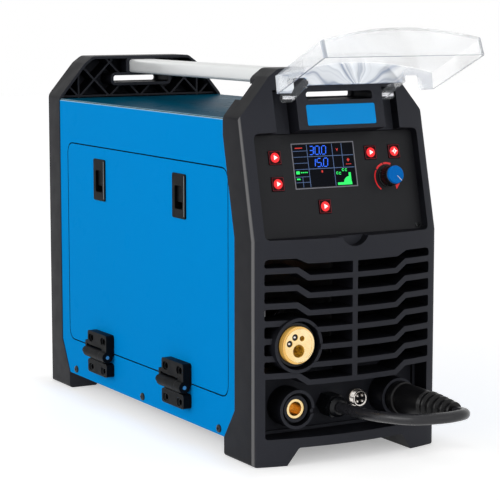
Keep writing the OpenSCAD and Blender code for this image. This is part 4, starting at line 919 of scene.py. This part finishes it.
def make_screen():
    """The lit marks of the display: cells, readings and plain process signs."""
    at = face_at(0, 0, LCD_N)

    def mark(name, outlines, material, thick=PRINT_T):
        prisms(name, outlines, 0, thick, "case", material, at)

    lines = [rule(0, w, 1, w) for w in LCD_ROWS[1:]]
    lines.append(rule(LCD_COLUMN, LCD_ROWS[0], 1, LCD_ROWS[0]))
    lines += [rule(0, w, LCD_COLUMN, w, 0.45) for w in LCD_LEFT_ROWS]
    lines.append(rule(LCD_COLUMN, 0, LCD_COLUMN, 1))
    lines.append(rule(LCD_UNITS, 0, LCD_UNITS, 1))
    lines.append(rule(LCD_MARKS, 0, LCD_MARKS, LCD_ROWS[1]))
    lines.append(rule(LCD_COLUMN / 2, LCD_LEFT_ROWS[4], LCD_COLUMN / 2, 1, 0.45))
    mark("screen_cells", lines, "lcd_line")
    digits = readout("30.0", 0.265, 0.045) + readout("15.0", 0.275, 0.335)
    mark("screen_readings", digits, "lcd_blue", PRINT_T * 1.5)

    x, y = lcd(0.735, 0.15)
    reds = [[(x - 1.3, y + 1.5), (x, y - 1.6), (x + 1.3, y + 1.5), (x, y + 0.6)]]
    x, y = lcd(0.905, 0.40)
    reds.append([(x - 1.5, y), (x, y - 1.8), (x + 1.5, y), (x, y + 1.8)])
    reds.append(rule(0.86, 0.50, 0.95, 0.50, 0.5))
    reds.append(rule(0.04, 0.075, 0.16, 0.075, 0.8))
    x, y = lcd(0.45, 0.645)
    reds.append(rounded_box(x - 0.8, y - 1.0, x + 0.8, y + 1.0, 0.3, 2))
    mark("screen_warnings", reds, "lcd_red")

    greens = [rule(0.69, 0.955, 0.93, 0.955, 2.4), rule(0.905, 0.93, 0.905, 0.70, 2.4)]
    corner = lcd(0.888, 0.93)
    fillet = [corner] + [
        (corner[0] - 6 * math.cos(a), corner[1] + 6 * math.sin(a) * 0.95)
        for a in (math.pi / 2 * i / 8 for i in range(9))
    ]
    greens.append(fillet[::-1])
    for u, w in ((0.70, 0.70), (0.745, 0.71), (0.80, 0.63), (0.85, 0.635)):
        greens.append(ring_outline(lcd(u, w), 1.05, 0.6, 30, 320, 12))
    greens.append(rounded_box(*lcd(0.02, 0.685), *lcd(0.075, 0.615), 0.3, 2))
    for i in range(4):
        greens.append(rule(0.095 + i * 0.03, 0.65, 0.115 + i * 0.03, 0.65, 1.0))
    greens.append(rule(0.02, 0.80, 0.075, 0.80, 1.3))
    mark("screen_signs", greens, "lcd_green")

    x0, y0 = LCD_MID[0] - LCD_W / 2, LCD_MID[1] - LCD_H / 2
    x1, y1 = LCD_MID[0] + LCD_W / 2, LCD_MID[1] + LCD_H / 2
    t = LCD_BORDER
    border = [
        box(x0, y0, x1, y0 + t),
        box(x0, y1 - t, x1, y1),
        box(x0, y0 + t, x0 + t, y1 - t),
        box(x1 - t, y0 + t, x1, y1 - t),
    ]
    prisms("screen_border", border, -0.05, 0.12, "case", "lcd_frame", face_at(0, 0))


KEY_HALF = 6.4
KEY_RIM_SHARE = 0.94


def make_button(index, mid):
    """A square key with a red rim, a lit lens and its sign."""
    body = f"button_{index}"
    refine(body, "key_cap", "button_red", 0.3, 2, 50)
    at = face_at(*mid, PANEL_N + BUTTON_RIM)
    corners = [(x * KEY_HALF, y * KEY_HALF) for x, y in SQUARE]
    sides = [strip([a, b], 0.4) for a, b in zip(corners, corners[1:] + corners[:1])]
    rim = [[(x * KEY_RIM_SHARE, y * KEY_RIM_SHARE) for x, y in side] for side in sides]
    prisms(f"key_rim_{index}", rim, -0.1, 0.1, body, "rim_red", at)
    lens = [(0, -0.2), (4.7, -0.2), (4.7, 0.2), (4.3, 0.5), (3.2, 0.75), (1.6, 0.88), (0, 0.92)]
    lathe(f"key_lens_{index}", lens, body, "lit_red", at, 40, 40)
    if index == 5:
        sign = [ring_outline((0, 0), 1.5, 0.6, 0, 350, 20)]
        sign.append(strip([(-3.1, 0), (3.1, 0)], 0.65))
        sign += [strip([(0, -3.0), (0, -1.2)], 0.65), strip([(0, 1.2), (0, 3.0)], 0.65)]
    else:
        sign = [[(-1.5, -2.3), (2.5, 0), (-1.5, 2.3)]]
    prisms(f"key_sign_{index}", sign, 0.6, 1.05, body, "lit_white", at)


DIAL_RIBS = 30
DIAL_RIB_DEPTH = 0.35
POINTER_TURN = math.radians(-48)


def make_dial():
    """Ribbed knob with a blue cap and a white pointer."""
    radius = DIAL_D / 2
    skirt_top = DIAL_H - 3

    def ribs(a, r, h):
        if r <= radius - 1.0 or not 2.2 < h < skirt_top - 0.6:
            return r
        return r - DIAL_RIB_DEPTH * (0.5 + 0.5 * math.cos(a * DIAL_RIBS))

    heights = (2.4, 4.5, 6.5, 8.5, 10.5, skirt_top - 0.8)
    profile = [(3.0, -6), (3.0, 0.4), (radius - 0.6, 0.4), (radius, 0.9), (radius, 1.9)]
    profile.append((radius - 0.4, 2.2))
    profile += [(radius - 0.15 - 0.03 * h, h) for h in heights]
    profile += [(radius - 0.8, skirt_top - 0.3), (radius - 1.3, skirt_top + 0.1), (0, skirt_top + 0.1)]
    at = face_at(*DIAL_SPOT)
    knob = lathe("dial_knob", profile, "dial", "gloss_black", at, 180, 30, ribs)
    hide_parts("dial_body")
    cap = [(8.6, skirt_top + 0.1), (8.75, skirt_top + 0.5), (8.75, DIAL_H - 0.9)]
    cap += [(8.5, DIAL_H - 0.3), (8.0, DIAL_H), (0, DIAL_H)]
    piece = lathe("dial_top", cap, "dial", "cap_blue", at, 96, 30)
    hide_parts("dial_cap")
    line = [(r * math.cos(POINTER_TURN), r * math.sin(POINTER_TURN)) for r in (1.5, 8.2)]
    pointer = [strip(line, 0.62)]
    prisms("dial_pointer", pointer, DIAL_H - 0.1, DIAL_H + 0.06, "dial", "printed_white", at)


SCALE_DROP = 0.4
SCALE_R = 13.8
SCALE_ARCS = ((234, 148, 1.2), (142, 105, 1.9), (101, 66, 1.9))


def make_dial_scale():
    """Red arc round the dial, broken at its marks, with a pointer triangle."""
    x, y = DIAL_SPOT[0], DIAL_SPOT[1] - SCALE_DROP
    arcs = [ring_outline((x, y), SCALE_R, width, a0, a1) for a0, a1, width in SCALE_ARCS]
    arcs.append([(x + 8.6, y - 7.4), (x + 9.5, y - 12.2), (x + 14.0, y - 6.4)])
    prisms("dial_scale", arcs, -0.05, 0.1, "case", "printed_red", face_at(0, 0))


make_screen()
for number, mid in enumerate(BUTTON_SPOTS, 1):
    make_button(number, mid)
make_dial()
make_dial_scale()


# ---------------------------------------------------------------- connectors

for row in (
    ("torch_socket", "brass_face", "brass", 0.5, 3, 50),
    ("torch_collar", "gloss_black", "gloss_black", 0.5, 2, 50),
    ("torch_contacts", "gloss_black", "gloss_black", 0.3, 2, 50),
    ("socket_shell_left", "moulded_black", "black_plastic", 0.5, 2, 40),
    ("socket_shell_right", "moulded_black", "black_plastic", 0.5, 2, 40),
    ("socket_inserts", "brass", "brass", 0.8, 3, 50),
    ("lead_gland", "gland_black", "gloss_black", 0.7, 2, 40),
):
    refine(*row)
dress("signal_pins", "shell_inside")


def make_torch_details():
    """Fine raised ring and contact pins on the torch connector's face."""
    at = wall_at(*TORCH)
    ridge = [(15.1, 0.02), (15.1, 0.25), (15.5, 0.4), (16.2, 0.4), (16.6, 0.25), (16.6, 0.02)]
    lathe("torch_ring", ridge + ridge[:1], "case", "brass_face", at, 96, 40)
    for number, (x, y) in enumerate(((-9, 2.1), (-3.2, 7.8)), 1):
        pin = [(0, -3), (1.35, -3), (1.35, -1.0), (0.9, -0.6), (0.55, -0.9), (0, -1.0)]
        at_pin = wall_at(TORCH[0] + x, TORCH[1], TORCH[2] + y)
        lathe(f"torch_pin_{number}", pin, "case", "nickel", at_pin, 24, 40)


SIGNAL_TURNS = 9
SIGNAL_PITCH = 0.62
SIGNAL_PIN = 2.8


def make_signal_socket():
    """Nickel shell with its rim and fine thread, and its four pins."""
    at = wall_at(*SIGNAL)
    profile = [(6.1, -18), (6.1, 0), (6.6, 0.35), (7.4, 0.35), (7.9, -0.2)]
    for i in range(SIGNAL_TURNS):
        z = -0.9 - i * SIGNAL_PITCH
        profile += [(7.45, z), (7.95, z - SIGNAL_PITCH / 2)]
    profile += [(7.5, -6.4), (8.6, -6.4), (8.6, -11.8), (8, -12), (8, -18), (6.1, -18)]
    shell = lathe("signal_shell", profile, "case", "nickel", at, 64, 25)
    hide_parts("signal_socket")
    for i, (x, y) in enumerate(CORNERS, 1):
        pin = [(0, -6.2), (1.5, -6.2), (1.5, -0.9), (1.0, -0.3), (0, -0.2)]
        place = wall_at(SIGNAL[0] + x * SIGNAL_PIN, SIGNAL[1], SIGNAL[2] + y * SIGNAL_PIN)
        lathe(f"signal_pin_{i}", pin, "case", "nickel", place, 20, 40)


def make_bore_glows():
    """Thin golden tubes in the torch connector's bores that carry their painted glow."""
    spots = (("torch_bore_glow", WIRE_BORE, 5.95, 24), ("torch_gas_glow", GAS_BORE, 2.35, 9))
    for name, (x, z), r, deep in spots:
        ring = [(r, -deep), (r, -0.5), (r - 0.15, -0.5), (r - 0.15, -deep), (r, -deep)]
        lathe(name, ring, "case", "brass_bore_glow", wall_at(x, TORCH[1], z), 48)


make_torch_details()
make_signal_socket()
make_bore_glows()


# ---------------------------------------------------------------- door fittings

for leaves in ("hinge_lower_leaves", "hinge_upper_leaves"):
    # The leaves' rounded edges get a painted highlight.
    refine(leaves, "hinge_black", "black_plastic", 0.7, 2, 40, "hinge_edge_highlight")
dress("hinge_pins", "turned_steel")
refine("latch_frames", "hinge_black", "black_plastic", 0.5)
for latch_slide in ("latch_slide_front", "latch_slide_rear"):
    refine(latch_slide, "hinge_black", "gloss_black", 0.5, 2, 40)


def make_latch_highlights():
    """Painted highlight: a bright line down the front edge of each latch frame."""
    for number, mid in enumerate(LATCH_MIDS, 1):
        at = side_at(-SHEET_X - LATCH_PROUD, mid, LATCH_Z, -1)
        line = rounded_box(11.2, -20, 12.3, 20.4, 0.4)
        prisms(f"latch_highlight_{number}", [line], -0.02, 0.1, "door", "latch_highlight", at)


make_latch_highlights()


# Dome of a screw head, in shares of its radius and height
SCREW_DOME = ((1, 0.35), (0.9, 0.75), (0.6, 0.97), (0.3, 1), (0, 1))
SCREW_SUNK = 0.4


def make_screw(name, at, body, radius=4.0, height=2.0):
    """Cross-recess screw head: a dome with a sunk cross cut into it."""
    bm = bmesh.new()
    dome = [(radius * out, height * up) for out, up in SCREW_DOME]
    add_lathe(bm, [(0, -SCREW_SUNK), (radius, -SCREW_SUNK), *dome], 40)
    mesh = to_mesh(bm, name, 40)
    head = keep(mesh, name, body, "black_screw", at)
    cutter_bm = bmesh.new()
    arm, half = radius * 0.55, radius * 0.13
    for x, y in ((arm, half), (half, arm)):
        add_prism(cutter_bm, box(-x, -y, x, y), height * 0.25, height * 2)
    cutter_mesh = to_mesh(cutter_bm, name + "_cut")
    cutter_mesh.transform(at)
    cutter = add_object(name + "_cut", cutter_mesh)
    cut = head.modifiers.new("cross", "BOOLEAN")
    cut.operation = "DIFFERENCE"
    cut.solver = "EXACT"
    cut.use_self = True
    cut.object = cutter
    bake(head)
    bpy.data.objects.remove(cutter)
    return head


def bake(piece):
    """Makes a piece's modifiers part of its mesh."""
    bpy.context.view_layer.update()
    graph = bpy.context.evaluated_depsgraph_get()
    mesh = bpy.data.meshes.new_from_object(piece.evaluated_get(graph))
    piece.modifiers.clear()
    piece.data = mesh
    shade(mesh, 35)


def make_case_screws():
    for sign in (-1, 1):
        side = "left" if sign < 0 else "right"
        for number, y in enumerate(SCREW_YS, 1):
            at = side_at(sign * SHEET_X, y, SCREW_Z, sign)
            make_screw(f"case_screw_{side}_{number}", at, "case")
    make_screw("panel_screw", face_at(85, 5.8), "case", 2.5, 0.9)
    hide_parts("case_screws")


HINGE_SCREW_D = 5.8


def make_hinge_screws():
    """Sunk screws in the hinge leaves, two in each leaf."""
    for number, mid in enumerate(HINGE_MIDS, 1):
        for level, z, body in (("low", 38.5, "case"), ("high", 70.5, "door")):
            for end in (-1, 1):
                at = side_at(-SHEET_X - 3.0, mid + end * 15, z, -1)
                name = f"hinge_screw_{number}_{level}_{'front' if end < 0 else 'rear'}"
                make_screw(name, at, body, HINGE_SCREW_D / 2, 2.6)


make_case_screws()
make_hinge_screws()


# ---------------------------------------------------------------- clear cover

COVER_L = 85
NEAR_SLOPE = 0.25
COVER_T = 2


def make_cover():
    """Clear cover with painted highlights on its edges and a painted glow on its leaning near wall."""
    piece = refine("clear_cover", "clear_plastic", "clear_plastic", 0.5)
    for extra in ("clear_edge", "clear_wall"):
        piece.data.materials.append(look(extra))
    piece.modifiers["edges"].material = 1
    back = COVER.inverted()
    turn = back.to_3x3() * MM
    for face in piece.data.polygons:
        _, along, height = back @ face.center
        near = COVER_L - NEAR_SLOPE * height
        # Near wall faces get the painted glow; some rim faces and slanted faces at the far edge get the
        # painted edge highlight.
        if near - COVER_T - 0.3 < along < near + 0.3:
            face.material_index = 2
        elif (turn @ face.normal).z < -0.95 and height < -14:
            face.material_index = 1
        elif along < 4 and 0.15 < abs((turn @ face.normal).x) < 0.98:
            face.material_index = 1


make_cover()
dress("cover_pins", "turned_steel")


# ---------------------------------------------------------------- rear

FAN_MID = (38, 120)
GUARD_RINGS = (16, 28, 40, 52)
GUARD_WIRE = 0.9
GUARD_REACH = 68
GUARD_HUB = 12
GUARD_HOLES = 52.5


def make_fan_guard():
    """Round-wire finger guard: rings, four spokes and screw eyes."""
    bm = bmesh.new()
    for radius in GUARD_RINGS:
        mid = radius + GUARD_WIRE
        ring = [(mid + GUARD_WIRE * math.cos(a), GUARD_WIRE + GUARD_WIRE * math.sin(a))
                for a in (2 * math.pi * i / 10 for i in range(10))]
        add_lathe(bm, ring + ring[:1], 72)
    for turn in (45, 135, 225, 315):
        outward = Matrix.Rotation(math.radians(turn), 4, "Z") @ Matrix.Translation((GUARD_HUB, 0, 1.35))
        rod = box(0, 0, 1, GUARD_REACH - GUARD_HUB)
        add_lathe(bm, rod, 12, outward @ Matrix.Rotation(math.pi / 2, 4, "Y"))
    for x, y in CORNERS:
        eye = [(0, 0), (4.5, 0), (4.5, 1.6), (4.1, 2.0), (0, 2.0)]
        add_lathe(bm, eye, 32, Matrix.Translation((x * GUARD_HOLES, y * GUARD_HOLES, 0)))
    at = wall_at(FAN_MID[0], BODY_L, FAN_MID[1], math.pi)
    guard = keep(to_mesh(bm, "fan_guard_wires"), "fan_guard_wires", "case", "nickel", at)
    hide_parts("fan_guard")


dress("fan_frame", "moulded_black")
refine("fan_rotor", "gloss_black", "black_plastic", 0.4)
make_fan_guard()
for fitting in ("switch_body", "switch_rocker", "mains_gland"):
    refine(fitting, "gloss_black", "gloss_black")
refine("gas_inlet", "brass", "brass", 0.3)
dress("gas_valve", "brass")


# ---------------------------------------------------------------- inside

WINDING_R = 88.1
WINDING_W = 48
WINDING_TURNS = 40


def make_winding():
    """Layer of wound wire between the spool's flanges."""
    pitch = WINDING_W / WINDING_TURNS
    profile = [(WINDING_R - 0.6, 0)]
    for i in range(WINDING_TURNS):
        z = -i * pitch
        profile += [(WINDING_R + 0.1, z - 0.1 * pitch), (WINDING_R + 0.5, z - 0.5 * pitch),
                    (WINDING_R + 0.1, z - 0.9 * pitch)]
    profile += [(WINDING_R - 0.6, -WINDING_W), (WINDING_R - 0.6, 0)]
    at = side_at(SPOOL[0] - WINDING_W / 2, SPOOL[1], SPOOL[2], -1)
    lathe("spool_winding", profile, "spool", "coppered_wire", at, 120, 60)


refine("feed_frame", "raw_aluminium", "raw_aluminium")
refine("feed_motor", "motor_enamel", "motor_steel", 0.8)
dress("wire_guides", "brass")
dress("spool_axle", "spool_plastic")
dress("power_board", "circuit_board")
for row in (
    ("heat_sink", "raw_aluminium", "raw_aluminium", 0.3, 1, 40),
    ("transformer", "varnished_copper", "copper_winding", 1.0, 2, 40),
    ("choke", "varnished_copper", "copper_winding", 2.5, 3, 40),
    ("drive_roll", "turned_steel", "roll_steel"),
    ("pressure_arm", "gloss_black", "black_plastic", 1.0, 2, 40),
    ("pressure_roll", "turned_steel", "roll_steel"),
    ("wire_spool", "spool_plastic", "spool_plastic"),
):
    refine(*row)
make_winding()


# ---------------------------------------------------------------- stage


WHITE = (1.0, 1.0, 1.0, 1.0)
FLOOR_HALF = 6.0
FLOOR_Z = -0.0003
# Footprint and fade of the painted shadow under the machine, and the floor's lift inside it.
UNDER_HALF = (0.085, 0.225)
UNDER_FADE = (-0.03, 0.05)
FLOOR_LIFT = 0.62
FLOOR_UNDER = 0.30
WORLD_RISE = (0.25, 0.95)
WORLD_SIDE = 0.85
WORLD_TOP = 0.14


def make_floor():
    """White floor that keeps the shadow, with a painted shadow where it lies under the machine."""
    bm = bmesh.new()
    bm.faces.new([bm.verts.new((x * FLOOR_HALF, y * FLOOR_HALF, FLOOR_Z)) for x, y in SQUARE])
    mesh = bpy.data.meshes.new("floor")
    bm.to_mesh(mesh)
    bm.free()
    floor = add_object("floor", mesh)
    made = Look("floor_white", (0.80, 0.80, 0.80), 0.6, specular=0.1)
    made.vary_colour(0.1, 2, (0.82, 0.82, 0.82))
    place = made.split(made.place)
    past = [made.maths("SUBTRACT", made.maths("ABSOLUTE", place[axis]), half)
            for axis, half in zip("XY", UNDER_HALF)]
    # Painted shadow: the floor is lifted less under the machine.
    lift = made.span(made.maths("MAXIMUM", *past), *UNDER_FADE, FLOOR_UNDER, FLOOR_LIFT)
    seen = made.wire("Emission", WHITE, made.maths("MULTIPLY", lift, made.seen_directly()))
    both = made.wire("AddShader", made.shader.outputs[0], seen[0])
    made.link(both[0], made.tree.nodes["Material Output"].inputs["Surface"])
    mesh.materials.append(made.material)


def make_world():
    """White room, brighter at the sides than overhead."""
    world = bpy.data.worlds.new("studio")
    bpy.context.scene.world = world
    room = Nodes(world)
    light = room.tree.nodes["Background"]
    up = room.split(room.node("TexCoord").outputs["Generated"])["Z"]
    room.feed(light.inputs["Color"], WHITE)
    room.feed(light.inputs["Strength"], room.span(up, *WORLD_RISE, WORLD_SIDE, WORLD_TOP))
    seen = room.wire("Background", WHITE, 1.0)
    mix = room.wire("MixShader", room.seen_directly(), light.outputs[0], seen[0])
    room.link(mix[0], room.tree.nodes["World Output"].inputs["Surface"])


def make_lamp(name, place, target, size, power):
    data = bpy.data.lights.new(name, "AREA")
    data.shape = "RECTANGLE"
    data.size, data.size_y = size
    data.energy = power
    lamp = add_object(name, data)
    lamp.location = place
    aim(lamp, Vector(target) - Vector(place))


make_floor()
make_world()
make_lamp("key", (-1.9, -0.2, 0.8), (0, 0, 0.2), (1.6, 1.2), 16)
make_lamp("front_fill", (0.2, -2.1, 0.7), (0, -0.2, 0.2), (1.6, 1.2), 2.5)
make_lamp("top", (0, 0.1, 1.9), (0, 0, 0.3), (1.6, 1.6), 1)

bpy.context.scene.view_settings.view_transform = "Standard"
